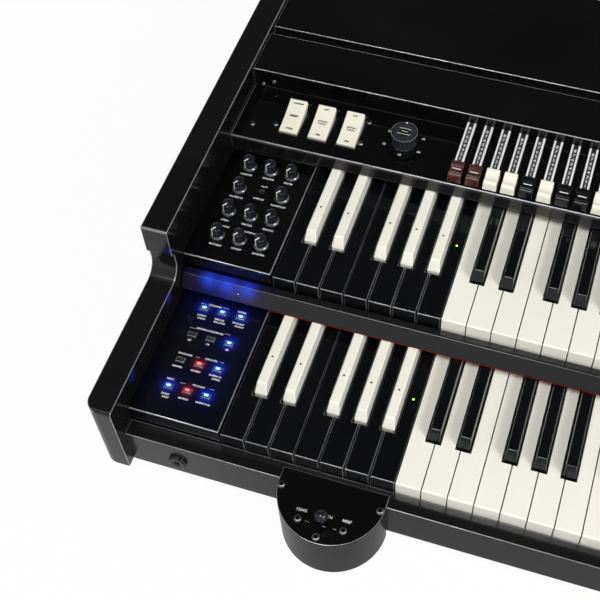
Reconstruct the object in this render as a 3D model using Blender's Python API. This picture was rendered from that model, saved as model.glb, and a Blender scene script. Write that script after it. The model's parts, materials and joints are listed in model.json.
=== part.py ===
# Drawbar organ with two manuals: case, key combs, drawbars and controls, one object for each piece.
# Metres, +Z up. X runs left to right for the player, -Y faces the player, and the runners stand on Z = 0.
import math
import bpy
import bmesh
from mathutils import Matrix, Vector

MM = 0.001
GAP = 0.3 * MM                       # between pieces that touch

# Keys of one manual: an octave of reversed-colour preset keys, then five octaves and a top C
KEY_PITCH = 23.5 * MM
KEY_SLIT = 1.0 * MM
PRESET_NATURALS = 7
PLAYING_NATURALS = 36
SHARP_OFFSETS = {0: -2.0 * MM, 1: 2.2 * MM, 3: -2.8 * MM, 4: 0.0, 5: 2.8 * MM}
NATURAL_HEAD = 47.0 * MM             # full-width front part of a natural
NATURAL_DEPTH = 12.0 * MM
SKIRT_DEPTH = 19.0 * MM
SKIRT_LENGTH = 9.0 * MM
KEY_EDGE = 1.5 * MM
SHARP_FRONT_GAP = 1.2 * MM
SHARP_SIDE_GAP = 0.8 * MM
SHARP_WIDTH = 13.0 * MM
SHARP_TOP_WIDTH = 8.8 * MM
SHARP_HEIGHT = 11.5 * MM
SHARP_SLOPE = 6.4 * MM
SHARP_SILL = 1.0 * MM                # straight foot above the naturals, before the slope
SHARP_LENGTH = 94.0 * MM
SHARP_LEG = 8.0 * MM
LEG_INSET = 1.0 * MM
SHANK_DROP = 3.0 * MM
PIVOT_BACK = 201.0 * MM              # front edge of a natural to the hinge line
SPINE = 10.0 * MM
SHARP_PLATE = 5.0 * MM
SHARP_PLATE_DROP = 17.0 * MM

# Where the manuals lie
MANUAL_STEP_BACK = 148.6 * MM
MANUAL_STEP_UP = 43.6 * MM

# Case
RUNNER_HEIGHT = 15.0 * MM
RUNNER_WIDTH = 20.0 * MM
RUNNER_INSET = 30.0 * MM
CASE_BELOW_KEYS = 67.0 * MM          # underside of the case to the top of the lower naturals
CASE_BEHIND_KEYS = 550.0 * MM        # front edge of the lower naturals to the back of the case
END_BLOCK = 89.0 * MM                # end of the keys to the inner face of the cheek
CHEEK_THICK = 26.0 * MM
CHEEK_REACH = 26.5 * MM              # cheek in front of the lower naturals
CHEEK_LOW_TOP = 34.0 * MM            # above the lower naturals
CHEEK_HIGH_TOP = 102.0 * MM
CHEEK_NOSE_BACK = 129.0 * MM
CHEEK_NOSE_LOW = 64.0 * MM
CHEEK_UNDERCUT = 4.5 * MM
CHEEK_COVE = 17.0 * MM
CHEEK_EDGE_ROUND = 4.0 * MM
CHEEK_CORNER_ROUND = 13.0 * MM
RAIL_REACH = 17.0 * MM
RAIL_THICK = 16.0 * MM
RAIL_TOP_DROP = 17.0 * MM
BOARD_THICK = 9.0 * MM
BACK_THICK = 8.0 * MM
MIDDLE_RAIL_FRONT = 130.0 * MM
MIDDLE_RAIL_LOW = 13.5 * MM
MIDDLE_RAIL_TOP = 29.0 * MM
MIDDLE_RAIL_SLANT = 9.0 * MM
MIDDLE_RAIL_GAP = 1.5 * MM
KEY_BOARD_FRONT = 281.0 * MM
KEY_BOARD_THICK = 4.0 * MM
KEY_BOARD_LOW = 56.5 * MM
PANEL_TOP = 74.0 * MM
PANEL_THICK = 2.5 * MM
PANEL_LIP = 0.5 * MM
COVER_FRONT = 352.5 * MM
COVER_TOP = 97.0 * MM
COVER_THICK = 7.0 * MM
COVER_WALL = 4.0 * MM
SLOT_FRONT = 405.7 * MM              # groove for a music rest, across the top
SLOT_BACK = 416.3 * MM
TONGUE_FRONT = 398.0 * MM
TONGUE_BACK = 424.0 * MM
TONGUE_THICK = 3.0 * MM

# Folded plates beside the keys
PLATE_THICK = 2.0 * MM
PLATE_SIDE_GAP = 1.0 * MM
LOWER_PLATE_RISE = 2.5 * MM
UPPER_PLATE_RISE = 3.0 * MM
PLATE_RETURN = 8.0 * MM
PLATE_TUCK = 4.0 * MM                # front skirt reaching down behind the rail
LOWER_PLATE_BACK = 145.0 * MM
UPPER_PLATE_BACK = 139.0 * MM        # behind the front edge of the upper naturals

# Buttons of the lower left plate
BUTTON_COLUMNS = (-62.3 * MM, -43.6 * MM, -24.9 * MM)
BUTTON_ROWS = (31.5 * MM, 60.8 * MM, 90.1 * MM, 121.0 * MM)
BUTTON_SIZE = (8.0 * MM, 5.0 * MM)
BUTTON_RISE = 1.5 * MM
MAT_THICK = 2.5 * MM
MAT_MARGIN = 8.0 * MM
BUTTON_GAP = 0.4 * MM

# Effect knobs of the upper left plate, as column and row of a grid
KNOB_COLUMNS = (-65.4 * MM, -42.8 * MM, -21.0 * MM)
KNOB_ROWS = (30.0 * MM, 60.3 * MM, 89.8 * MM, 119.4 * MM)
KNOB_NAMES = {
    (0, 3): "knob_drawbar_volume", (1, 3): "knob_reverb", (2, 3): "knob_drive",
    (0, 2): "knob_keyclick", (2, 2): "knob_leakage",
    (0, 1): "knob_bass", (1, 1): "knob_mid", (2, 1): "knob_treble",
    (0, 0): "knob_sustain", (1, 0): "knob_decay", (2, 0): "knob_volume",
}
KNOB_BASE_RADIUS = 7.4 * MM
KNOB_TOP_RADIUS = 5.5 * MM
KNOB_HEIGHT = 13.0 * MM
KNOB_EDGE = 0.5 * MM
KNOB_SKIRT_SHARE = 0.16              # shares of a knob's height: skirt, neck, underside of the head, rim
KNOB_NECK_SHARE = 0.36
KNOB_HEAD_SHARE = 0.78
KNOB_RIM_SHARE = 0.95
SHAFT_RADIUS = 3.0 * MM
SHAFT_LENGTH = 9.0 * MM
SHAFT_CLEARANCE = 0.3 * MM

# Rocker tabs and the rotary switch of the upper panel, from the left end of the keys
TAB_PITCH = 30.0 * MM
TAB_FIRST = -34.0 * MM
TAB_NAMES = ("tab_volume", "tab_vibrato_upper", "tab_vibrato_lower")
PERCUSSION_TABS = 4
TAB_WIDTH = 18.7 * MM
TAB_HALF_LENGTH = 19.4 * MM
TAB_TOP = 12.4 * MM                  # above the tab's pivot
TAB_CENTRE_BACK = 319.0 * MM
TAB_PIVOT_DROP = 6.0 * MM            # below the panel's top
TAB_TILT = 10.5                      # degrees, at rest
TAB_SIDE_GAP = 0.5 * MM
TAB_END_GAP = 1.0 * MM
TAB_SHAFT = 3.0 * MM
TAB_END_THICK = 4.2 * MM
TAB_HOLLOW = 1.1 * MM                 # dip in the middle of the face
TAB_HUB = (5.0 * MM, -3.0 * MM)      # half length and low side of the hub about the pivot
TAB_SHOULDER = (8.0 * MM, 2.0 * MM)
ROTARY_CENTRE = (80.3 * MM, 318.7 * MM)
ROTARY_BASE_RADIUS = 12.2 * MM
ROTARY_TOP_RADIUS = 13.2 * MM
ROTARY_HEIGHT = 16.0 * MM

# Drawbars, shown pulled fully out
DRAWBAR_PITCH = 17.3 * MM
DRAWBAR_FIRST = 139.8 * MM
DRAWBARS_PER_SET = 9
PEDAL_DRAWBARS = 2
SET_SPACE = 10.0 * MM
BAR_WIDTH = 8.6 * MM
BAR_THICK = 3.6 * MM
BAR_LOW = 8.0 * MM                   # above the panel
BAR_INSIDE = 32.0 * MM               # behind the cover's front wall
HANDLE_WIDTH = 13.4 * MM
HANDLE_LENGTH = 18.5 * MM
HANDLE_FRONT = 282.0 * MM
HANDLE_LOW = 1.5 * MM
HANDLE_HEIGHT = 12.5 * MM
HANDLE_SADDLE = 3.2 * MM
LINK_DEPTH = 8.0 * MM

# Half-round switch box on the front rail
MOON_CENTRE = 112.3 * MM
MOON_RADIUS = 49.6 * MM
MOON_DEPTH = 61.0 * MM
MOON_WALL = 2.5 * MM
MOON_PLATE = 1.5 * MM
MOON_PLATE_BACK = 11.0 * MM
LEVER_AHEAD = 30.0 * MM              # lever in front of the rail
LEVER_BALL = 4.0 * MM
LEVER_STICK = 1.8 * MM
LEVER_PIVOT_DROP = 8.0 * MM
LEVER_HEIGHT = 24.0 * MM
LEVER_KNOB = 6.2 * MM
LEVER_KNOB_SHAPE = (                 # radius and height about its middle, as shares of the knob's radius
    (0.28, -1.0), (0.7, -0.9), (1.0, -0.2), (0.92, 0.4), (0.6, 0.75), (0.0, 0.85),
)
LEVER_TRAVEL = 18.0                  # degrees each way
LEVER_POST = 5.0 * MM

# Headphone socket in the front rail
SOCKET_X = -39.9 * MM
SOCKET_HEIGHT = 23.2 * MM            # above the underside of the case
SOCKET_NUT = 8.8 * MM
SOCKET_NUT_THICK = 3.5 * MM
SOCKET_BARREL = 6.0 * MM
SOCKET_BORE = 3.3 * MM
SOCKET_BODY = 8.0 * MM
SOCKET_BODY_LENGTH = 14.0 * MM
SOCKET_BORE_END = 2.0 * MM           # material left behind the blind bore

# Inside and at the back
SHEET = 3.0 * MM
FRAME_FRONT = 6.0 * MM
UPPER_FRAME_LOW = 8.0 * MM
UPPER_FRAME_FRONT = 152.0 * MM
FRAME_WALL_TOP = 2.0 * MM
CIRCUIT_X = (-180.0 * MM, 160.0 * MM)
CIRCUIT_Y = (270.0 * MM, 420.0 * MM)
CIRCUIT_THICK = 1.6 * MM
POST_HEIGHT = 8.0 * MM
POST_RADIUS = 3.5 * MM
POST_INSET = 8.0 * MM
CIRCUIT_PARTS = (                    # place across and along the board as shares of it, half width, height
    (0.12, 0.60, 9.0 * MM, 2.5 * MM), (0.31, 0.35, 11.0 * MM, 5.5 * MM), (0.50, 0.60, 13.0 * MM, 2.5 * MM),
    (0.69, 0.35, 9.0 * MM, 5.5 * MM), (0.88, 0.60, 11.0 * MM, 2.5 * MM),
)
JACK_PLATE_INSET = 134.0 * MM         # from the inner face of the left cheek
JACK_PLATE_WIDTH = 340.0 * MM
JACK_PLATE_Z = (20.0 * MM, 90.0 * MM)
JACK_PLATE_RECESS = 4.0 * MM
JACK_COUNT = 4
JACK_PITCH = 40.0 * MM
JACK_INSET = 22.0 * MM
JACK_RADIUS = 7.0 * MM
JACK_DEPTH = 16.0 * MM
INLET_SIZE = (27.5 * MM, 20.0 * MM)
INLET_DEPTH = 16.0 * MM
INLET_WALL = 2.5 * MM
INLET_INSET = 34.0 * MM

# Lines that several pieces share
NATURALS = PRESET_NATURALS + PLAYING_NATURALS
KEYS_LEFT = -NATURALS * KEY_PITCH / 2
KEYS_RIGHT = -KEYS_LEFT
INSIDE = KEYS_RIGHT + END_BLOCK
OUTSIDE = INSIDE + CHEEK_THICK
FRONT_REACH = RAIL_REACH + GAP + MOON_RADIUS
SHARP_FRONT = NATURAL_HEAD + SHARP_FRONT_GAP
SHARP_BACK = SHARP_FRONT + SHARP_LENGTH
KEYS_FRONT = (FRONT_REACH - CASE_BEHIND_KEYS) / 2
UNDERSIDE = RUNNER_HEIGHT
KEYS_TOP = UNDERSIDE + CASE_BELOW_KEYS
UPPER_FRONT = KEYS_FRONT + MANUAL_STEP_BACK
UPPER_TOP = KEYS_TOP + MANUAL_STEP_UP
CASE_BACK = KEYS_FRONT + CASE_BEHIND_KEYS
RAIL_FRONT = KEYS_FRONT - RAIL_REACH
RAIL_TOP = KEYS_TOP - RAIL_TOP_DROP
PANEL_Z = KEYS_TOP + PANEL_TOP
COVER_Z = KEYS_TOP + COVER_TOP
BOARD_TOP = UNDERSIDE + BOARD_THICK
JACK_PLATE_LEFT = -INSIDE + JACK_PLATE_INSET
JACK_PLATE_X = (JACK_PLATE_LEFT, JACK_PLATE_LEFT + JACK_PLATE_WIDTH)


def finish(name, colour, roughness, metallic=0.0):
    material = bpy.data.materials.new(name)
    material.use_nodes = True
    shader = material.node_tree.nodes["Principled BSDF"]
    shader.inputs["Base Color"].default_value = (*colour, 1.0)
    shader.inputs["Roughness"].default_value = roughness
    shader.inputs["Metallic"].default_value = metallic
    material.diffuse_color = (*colour, 1.0)
    return material


def make_finishes():
    return {
        "case": finish("satin_black_case", (0.018, 0.018, 0.020), 0.42),
        "panel": finish("gloss_black_panel", (0.008, 0.008, 0.009), 0.12),
        "plate": finish("satin_black_plate", (0.012, 0.012, 0.014), 0.30),
        "cream": finish("cream_plastic", (0.86, 0.83, 0.74), 0.22),
        "black": finish("black_plastic", (0.010, 0.010, 0.011), 0.18),
        "brown": finish("brown_plastic", (0.10, 0.035, 0.022), 0.30),
        "knob": finish("knob_plastic", (0.015, 0.015, 0.016), 0.38),
        "button": finish("clear_button", (0.55, 0.60, 0.75), 0.35),
        "steel": finish("zinc_plated_steel", (0.55, 0.56, 0.57), 0.35, 1.0),
        "rubber": finish("black_rubber", (0.02, 0.02, 0.02), 0.85),
        "circuit": finish("green_circuit_board", (0.02, 0.12, 0.05), 0.45),
        "socket": finish("socket_plastic", (0.012, 0.012, 0.013), 0.35),
    }


def box(shape, xs, ys, zs):
    corners = [shape.verts.new((x, y, z)) for z in zs for y in ys for x in xs]
    for face in ((0, 2, 3, 1), (4, 5, 7, 6), (0, 1, 5, 4), (2, 6, 7, 3), (0, 4, 6, 2), (1, 3, 7, 5)):
        shape.faces.new([corners[i] for i in face])


def prism(shape, outline, axis, low, high):
    """Extrudes an outline; it holds (y, z) pairs along x, (x, z) along y and (x, y) along z."""
    def point(a, b, c):
        return {"x": (c, a, b), "y": (a, c, b), "z": (a, b, c)}[axis]
    near = [shape.verts.new(point(a, b, low)) for a, b in outline]
    far = [shape.verts.new(point(a, b, high)) for a, b in outline]
    faces = [shape.faces.new(near), shape.faces.new(list(reversed(far)))]
    count = len(outline)
    for i in range(count):
        j = (i + 1) % count
        faces.append(shape.faces.new((near[i], far[i], far[j], near[j])))
    bmesh.ops.recalc_face_normals(shape, faces=faces)


def turned(shape, profile, centre, axis, segments):
    """Turns (radius, height) pairs about an axis; the profile starts and ends on the axis."""
    def point(radius, height, angle):
        a = radius * math.cos(angle)
        b = radius * math.sin(angle)
        offset = {"x": (height, a, b), "y": (a, height, b), "z": (a, b, height)}[axis]
        return Vector(centre) + Vector(offset)
    rings = []
    for radius, height in profile:
        if radius == 0.0:
            rings.append([shape.verts.new(point(0.0, height, 0.0))])
        else:
            turns = [2 * math.pi * k / segments for k in range(segments)]
            rings.append([shape.verts.new(point(radius, height, turn)) for turn in turns])
    faces = []
    for lower, upper in zip(rings, rings[1:]):
        for k in range(segments):
            n = (k + 1) % segments
            corners = [lower[k % len(lower)], lower[n % len(lower)]]
            corners += [upper[n % len(upper)], upper[k % len(upper)]]
            faces.append(shape.faces.new(list(dict.fromkeys(corners))))
    bmesh.ops.recalc_face_normals(shape, faces=faces)


def cylinder(shape, radius, low, high, centre, axis, segments):
    turned(shape, [(0.0, low), (radius, low), (radius, high), (0.0, high)], centre, axis, segments)


def arc(centre_a, centre_b, radius, start, end, steps):
    turns = [math.radians(start + (end - start) * k / steps) for k in range(steps + 1)]
    return [(centre_a + radius * math.cos(t), centre_b + radius * math.sin(t)) for t in turns]


def solid(name, shape, material, origin=(0.0, 0.0, 0.0), smooth=False):
    bmesh.ops.recalc_face_normals(shape, faces=shape.faces)
    mesh = bpy.data.meshes.new(name)
    shape.to_mesh(mesh)
    shape.free()
    mesh.transform(Matrix.Translation(-Vector(origin)))
    if smooth:
        mesh.shade_smooth()
        mesh.set_sharp_from_angle(angle=math.radians(35))
    mesh.materials.append(material)
    piece = bpy.data.objects.new(name, mesh)
    piece.location = origin
    bpy.context.collection.objects.link(piece)
    return piece


def combine(piece, shape, operation):
    """Adds, cuts or keeps what another shape covers; that shape is hidden and isn't a piece."""
    bmesh.ops.recalc_face_normals(shape, faces=shape.faces)
    mesh = bpy.data.meshes.new(piece.name + "_guide")
    shape.to_mesh(mesh)
    shape.free()
    guide = bpy.data.objects.new(piece.name + "_guide", mesh)
    guide.hide_render = True
    guide.display_type = "WIRE"
    bpy.context.collection.objects.link(guide)
    step = piece.modifiers.new(operation.lower(), "BOOLEAN")
    step.operation = operation
    step.solver = "EXACT"
    step.object = guide


def has_sharp(index, naturals):
    return 0 <= index < naturals - 1 and index % 7 in SHARP_OFFSETS


def sharp_centre(index):
    return (index + 1) * KEY_PITCH + SHARP_OFFSETS[index % 7]


def cell_solid(shape, xs, ys, zs, filled):
    """Closed skin around the filled cells of a grid."""
    corners = {}

    def corner(i, j, k):
        if (i, j, k) not in corners:
            corners[(i, j, k)] = shape.verts.new((xs[i], ys[j], zs[k]))
        return corners[(i, j, k)]

    sides = {
        (-1, 0, 0): ((0, 0, 0), (0, 0, 1), (0, 1, 1), (0, 1, 0)),
        (1, 0, 0): ((1, 0, 0), (1, 1, 0), (1, 1, 1), (1, 0, 1)),
        (0, -1, 0): ((0, 0, 0), (1, 0, 0), (1, 0, 1), (0, 0, 1)),
        (0, 1, 0): ((0, 1, 0), (0, 1, 1), (1, 1, 1), (1, 1, 0)),
        (0, 0, -1): ((0, 0, 0), (0, 1, 0), (1, 1, 0), (1, 0, 0)),
        (0, 0, 1): ((0, 0, 1), (1, 0, 1), (1, 1, 1), (0, 1, 1)),
    }
    for i, j, k in filled:
        for step, square in sides.items():
            if (i + step[0], j + step[1], k + step[2]) not in filled:
                shape.faces.new([corner(i + a, j + b, k + c) for a, b, c in square])


def natural_key(shape, left, index, naturals, front, top):
    """Waterfall-fronted natural, narrowed beside the sharps; its tail ends inside the comb's spine."""
    head_left = left + index * KEY_PITCH + KEY_SLIT / 2
    head_right = left + (index + 1) * KEY_PITCH - KEY_SLIT / 2
    clear = SHARP_WIDTH / 2 + SHARP_SIDE_GAP
    tail_left = head_left
    tail_right = head_right
    if has_sharp(index - 1, naturals):
        tail_left = left + sharp_centre(index - 1) + clear
    if has_sharp(index, naturals):
        tail_right = left + sharp_centre(index) - clear
    xs = sorted({head_left, tail_left, tail_right, head_right})
    ys = [front, front + SKIRT_LENGTH, front + NATURAL_HEAD, front + PIVOT_BACK]
    zs = [top - SKIRT_DEPTH, top - NATURAL_DEPTH, top]
    filled = set()
    for i in range(len(xs) - 1):
        filled |= {(i, 0, 0), (i, 0, 1), (i, 1, 1)}
        if xs[i] >= tail_left and xs[i + 1] <= tail_right:
            filled.add((i, 2, 1))
    cell_solid(shape, xs, ys, zs, filled)


def soften_front_edges(shape, front, top):
    """Merges the flat cells, then rounds the top front edge of each natural."""
    bmesh.ops.dissolve_limit(shape, angle_limit=0.01, verts=shape.verts, edges=shape.edges)
    tiny = 0.01 * MM
    corners = {v for v in shape.verts if abs(v.co.y - front) < tiny and abs(v.co.z - top) < tiny}
    picked = [e for e in shape.edges if corners.issuperset(e.verts)]
    bmesh.ops.bevel(shape, geom=picked, offset=KEY_EDGE, segments=1, profile=0.5, affect="EDGES")


def sharp_key(shape, centre, front, top, back, low):
    """Tapered cap with a sloped front, on a straight-sided foot."""
    wide = SHARP_WIDTH / 2
    slim = SHARP_TOP_WIDTH / 2
    rows = (
        (top - low, wide, front, back),
        (top + SHARP_SILL, wide, front, back),
        (top + SHARP_HEIGHT, slim, front + SHARP_SLOPE, back),
    )
    rings = []
    for z, half, near, far in rows:
        corners = ((-half, near), (half, near), (half, far), (-half, far))
        rings.append([shape.verts.new((centre + x, y, z)) for x, y in corners])
    faces = [shape.faces.new(rings[0]), shape.faces.new(rings[-1])]
    for lower, upper in zip(rings, rings[1:]):
        for k in range(4):
            n = (k + 1) % 4
            faces.append(shape.faces.new((lower[k], lower[n], upper[n], upper[k])))
    bmesh.ops.recalc_face_normals(shape, faces=faces)


def preset_comb(name, front, top, materials):
    """The preset octave of one manual: black naturals and cream sharps on one spine."""
    left = KEYS_LEFT
    pivot = (0.0, front + PIVOT_BACK, top - NATURAL_DEPTH + SPINE / 2)
    spine = bmesh.new()
    box(spine, (left + KEY_SLIT / 2, left + PRESET_NATURALS * KEY_PITCH - KEY_SLIT / 2),
        (pivot[1] - SPINE / 2, pivot[1] + SPINE / 2), (pivot[2] - SPINE / 2, pivot[2] + SPINE / 2))
    comb = solid(name, spine, materials["black"], pivot)
    naturals = bmesh.new()
    for index in range(PRESET_NATURALS):
        natural_key(naturals, left, index, PRESET_NATURALS + 1, front, top)
    soften_front_edges(naturals, front, top)
    combine(comb, naturals, "UNION")
    sharps = bmesh.new()
    shanks = bmesh.new()
    for index in range(PRESET_NATURALS - 1):
        if has_sharp(index, PRESET_NATURALS + 1):
            centre = left + sharp_centre(index)
            sharp_key(sharps, centre, front + SHARP_FRONT, top, front + SHARP_BACK, NATURAL_DEPTH)
            box(shanks, (centre - SHARP_TOP_WIDTH / 2, centre + SHARP_TOP_WIDTH / 2),
                (front + SHARP_BACK - SHARP_LEG, pivot[1]),
                (top - NATURAL_DEPTH + LEG_INSET, top - SHANK_DROP))
    combine(comb, shanks, "UNION")
    combine(comb, sharps, "UNION")


def naturals_comb(name, front, top, materials):
    left = KEYS_LEFT + PRESET_NATURALS * KEY_PITCH
    pivot = (0.0, front + PIVOT_BACK, top - NATURAL_DEPTH + SPINE / 2)
    spine = bmesh.new()
    box(spine, (left + KEY_SLIT / 2, KEYS_RIGHT - KEY_SLIT / 2),
        (pivot[1] - SPINE / 2, pivot[1] + SPINE / 2), (pivot[2] - SPINE / 2, pivot[2] + SPINE / 2))
    comb = solid(name, spine, materials["cream"], pivot)
    naturals = bmesh.new()
    for index in range(PLAYING_NATURALS):
        natural_key(naturals, left, index, PLAYING_NATURALS, front, top)
    soften_front_edges(naturals, front, top)
    combine(comb, naturals, "UNION")


def sharps_comb(name, front, top, materials):
    """Sharps on a plate that passes under the naturals to the hinge line."""
    left = KEYS_LEFT + PRESET_NATURALS * KEY_PITCH
    plate_top = top - SHARP_PLATE_DROP
    pivot = (0.0, front + PIVOT_BACK, plate_top - SHARP_PLATE / 2)
    plate = bmesh.new()
    box(plate, (left + KEY_SLIT / 2, KEYS_RIGHT - KEY_SLIT / 2),
        (front + SHARP_BACK - SHARP_LEG, pivot[1] + SPINE / 2), (plate_top - SHARP_PLATE, plate_top))
    comb = solid(name, plate, materials["black"], pivot)
    legs = bmesh.new()
    sharps = bmesh.new()
    for index in range(PLAYING_NATURALS - 1):
        if has_sharp(index, PLAYING_NATURALS):
            centre = left + sharp_centre(index)
            sharp_key(sharps, centre, front + SHARP_FRONT, top, front + SHARP_BACK, NATURAL_DEPTH)
            box(legs, (centre - SHARP_TOP_WIDTH / 2, centre + SHARP_TOP_WIDTH / 2),
                (front + SHARP_BACK - SHARP_LEG + LEG_INSET, front + SHARP_BACK - LEG_INSET),
                (plate_top - LEG_INSET, top - SHANK_DROP))
    combine(comb, legs, "UNION")
    combine(comb, sharps, "UNION")


def key_frame(name, front, top, plate_low, plate_front, materials):
    """Folded sheet under the keys; its rear wall stands behind the hinge lines."""
    wall_front = front + PIVOT_BACK + SPINE / 2 + GAP
    wall_back = wall_front + SHEET
    plate_top = plate_low + SHEET
    outline = [
        (plate_front, plate_low), (wall_back, plate_low), (wall_back, top - FRAME_WALL_TOP),
        (wall_front, top - FRAME_WALL_TOP), (wall_front, plate_top), (plate_front, plate_top),
    ]
    shape = bmesh.new()
    prism(shape, outline, "x", -INSIDE + GAP, INSIDE - GAP)
    solid(name, shape, materials["steel"])


def make_keys(materials):
    for word, front, top in (("lower", KEYS_FRONT, KEYS_TOP), ("upper", UPPER_FRONT, UPPER_TOP)):
        preset_comb(word + "_preset_keys", front, top, materials)
        naturals_comb(word + "_natural_keys", front, top, materials)
        sharps_comb(word + "_sharp_keys", front, top, materials)
    key_frame("lower_key_frame", KEYS_FRONT, KEYS_TOP, BOARD_TOP + GAP, KEYS_FRONT + FRAME_FRONT, materials)
    key_frame("upper_key_frame", UPPER_FRONT, UPPER_TOP, KEYS_TOP + UPPER_FRAME_LOW,
              KEYS_FRONT + UPPER_FRAME_FRONT, materials)


def cheek(name, side, materials):
    """Side panel: low in front with a rounded nose, a cove, and a high part behind an undercut nose."""
    front = KEYS_FRONT - CHEEK_REACH
    low_top = KEYS_TOP + CHEEK_LOW_TOP
    nose = KEYS_FRONT + CHEEK_NOSE_BACK
    nose_low = KEYS_TOP + CHEEK_NOSE_LOW
    cove_back = nose + CHEEK_UNDERCUT
    edge = CHEEK_EDGE_ROUND
    high = KEYS_TOP + CHEEK_HIGH_TOP
    outline = [(CASE_BACK, UNDERSIDE), (CASE_BACK, high), (nose + edge / 4, high), (nose, high - edge / 4)]
    outline += arc(nose + edge, nose_low + edge, edge, 180, 270, 3)
    outline += arc(cove_back - CHEEK_COVE, low_top + CHEEK_COVE, CHEEK_COVE, 0, -90, 8)
    outline += arc(front + edge, low_top - edge, edge, 90, 180, 4)
    outline.append((front, UNDERSIDE))
    shape = bmesh.new()
    prism(shape, outline, "x", min(side * INSIDE, side * OUTSIDE), max(side * INSIDE, side * OUTSIDE))
    piece = solid(name, shape, materials["case"])
    beyond = 5.0 * MM
    corner = arc(side * (OUTSIDE - CHEEK_CORNER_ROUND), front + CHEEK_CORNER_ROUND, CHEEK_CORNER_ROUND,
                 -90, -90 + side * 90, 6)
    plan = [(side * (INSIDE - beyond), front)] + corner
    plan += [(side * OUTSIDE, CASE_BACK + beyond), (side * (INSIDE - beyond), CASE_BACK + beyond)]
    guide = bmesh.new()
    prism(guide, plan, "z", UNDERSIDE - beyond, high + beyond)
    combine(piece, guide, "INTERSECT")


def make_case(materials):
    cheek("left_cheek", -1, materials)
    cheek("right_cheek", 1, materials)
    width = (-INSIDE + GAP, INSIDE - GAP)
    for name, side in (("left_runner", -1), ("right_runner", 1)):
        middle = side * (INSIDE + CHEEK_THICK / 2)
        shape = bmesh.new()
        box(shape, (middle - RUNNER_WIDTH / 2, middle + RUNNER_WIDTH / 2),
            (KEYS_FRONT - CHEEK_REACH + RUNNER_INSET, CASE_BACK - RUNNER_INSET), (0.0, RUNNER_HEIGHT - GAP))
        solid(name, shape, materials["rubber"])
    shape = bmesh.new()
    box(shape, width, (RAIL_FRONT + RAIL_THICK + GAP, CASE_BACK), (UNDERSIDE, BOARD_TOP))
    solid("bottom_board", shape, materials["case"])
    shape = bmesh.new()
    box(shape, width, (RAIL_FRONT, RAIL_FRONT + RAIL_THICK), (UNDERSIDE, RAIL_TOP))
    rail = solid("front_rail", shape, materials["case"])
    hole = bmesh.new()
    cylinder(hole, SOCKET_BARREL + GAP, -RAIL_THICK, 2 * RAIL_THICK, socket_centre(), "y", 24)
    combine(rail, hole, "DIFFERENCE")
    low = (KEYS_FRONT + MIDDLE_RAIL_FRONT, KEYS_TOP + MIDDLE_RAIL_LOW)
    high = (low[0] + MIDDLE_RAIL_SLANT, KEYS_TOP + MIDDLE_RAIL_TOP)
    rear = UPPER_FRONT - MIDDLE_RAIL_GAP
    shape = bmesh.new()
    prism(shape, [low, (rear, low[1]), (rear, high[1]), high], "x", *width)
    solid("middle_rail", shape, materials["case"])
    shape = bmesh.new()
    box(shape, width, (KEYS_FRONT + KEY_BOARD_FRONT, KEYS_FRONT + KEY_BOARD_FRONT + KEY_BOARD_THICK),
        (KEYS_TOP + KEY_BOARD_LOW, PANEL_Z - PANEL_THICK - GAP))
    solid("upper_key_board", shape, materials["case"])


def make_covers(materials):
    width = (-INSIDE + GAP, INSIDE - GAP)
    front = KEYS_FRONT + COVER_FRONT
    low = COVER_Z - COVER_THICK
    outline = [
        (front, PANEL_Z + GAP), (front + COVER_WALL, PANEL_Z + GAP), (front + COVER_WALL, low),
        (KEYS_FRONT + SLOT_FRONT, low), (KEYS_FRONT + SLOT_FRONT, COVER_Z), (front, COVER_Z),
    ]
    shape = bmesh.new()
    prism(shape, outline, "x", *width)
    cover = solid("top_cover_front", shape, materials["case"])
    slots = bmesh.new()
    for centre in [x for group in drawbar_groups() for x in group]:
        box(slots, (centre - BAR_WIDTH / 2 - GAP, centre + BAR_WIDTH / 2 + GAP),
            (front - COVER_WALL, front + 2 * COVER_WALL),
            (PANEL_Z + BAR_LOW - GAP, PANEL_Z + BAR_LOW + BAR_THICK + GAP))
    combine(cover, slots, "DIFFERENCE")
    tongue_top = low - GAP
    outline = [
        (KEYS_FRONT + TONGUE_FRONT, tongue_top), (KEYS_FRONT + SLOT_BACK, tongue_top),
        (KEYS_FRONT + SLOT_BACK, COVER_Z), (CASE_BACK, COVER_Z), (CASE_BACK, low),
        (KEYS_FRONT + TONGUE_BACK, low), (KEYS_FRONT + TONGUE_BACK, tongue_top - TONGUE_THICK),
        (KEYS_FRONT + TONGUE_FRONT, tongue_top - TONGUE_THICK),
    ]
    shape = bmesh.new()
    prism(shape, outline, "x", *width)
    solid("top_cover_rear", shape, materials["case"])
    shape = bmesh.new()
    box(shape, width, (CASE_BACK - BACK_THICK, CASE_BACK), (BOARD_TOP + GAP, low - GAP))
    back = solid("back_panel", shape, materials["case"])
    opening = bmesh.new()
    box(opening, (JACK_PLATE_X[0] - GAP, JACK_PLATE_X[1] + GAP),
        (CASE_BACK - 2 * BACK_THICK, CASE_BACK + BACK_THICK),
        (UNDERSIDE + JACK_PLATE_Z[0] - GAP, UNDERSIDE + JACK_PLATE_Z[1] + GAP))
    combine(back, opening, "DIFFERENCE")


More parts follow.
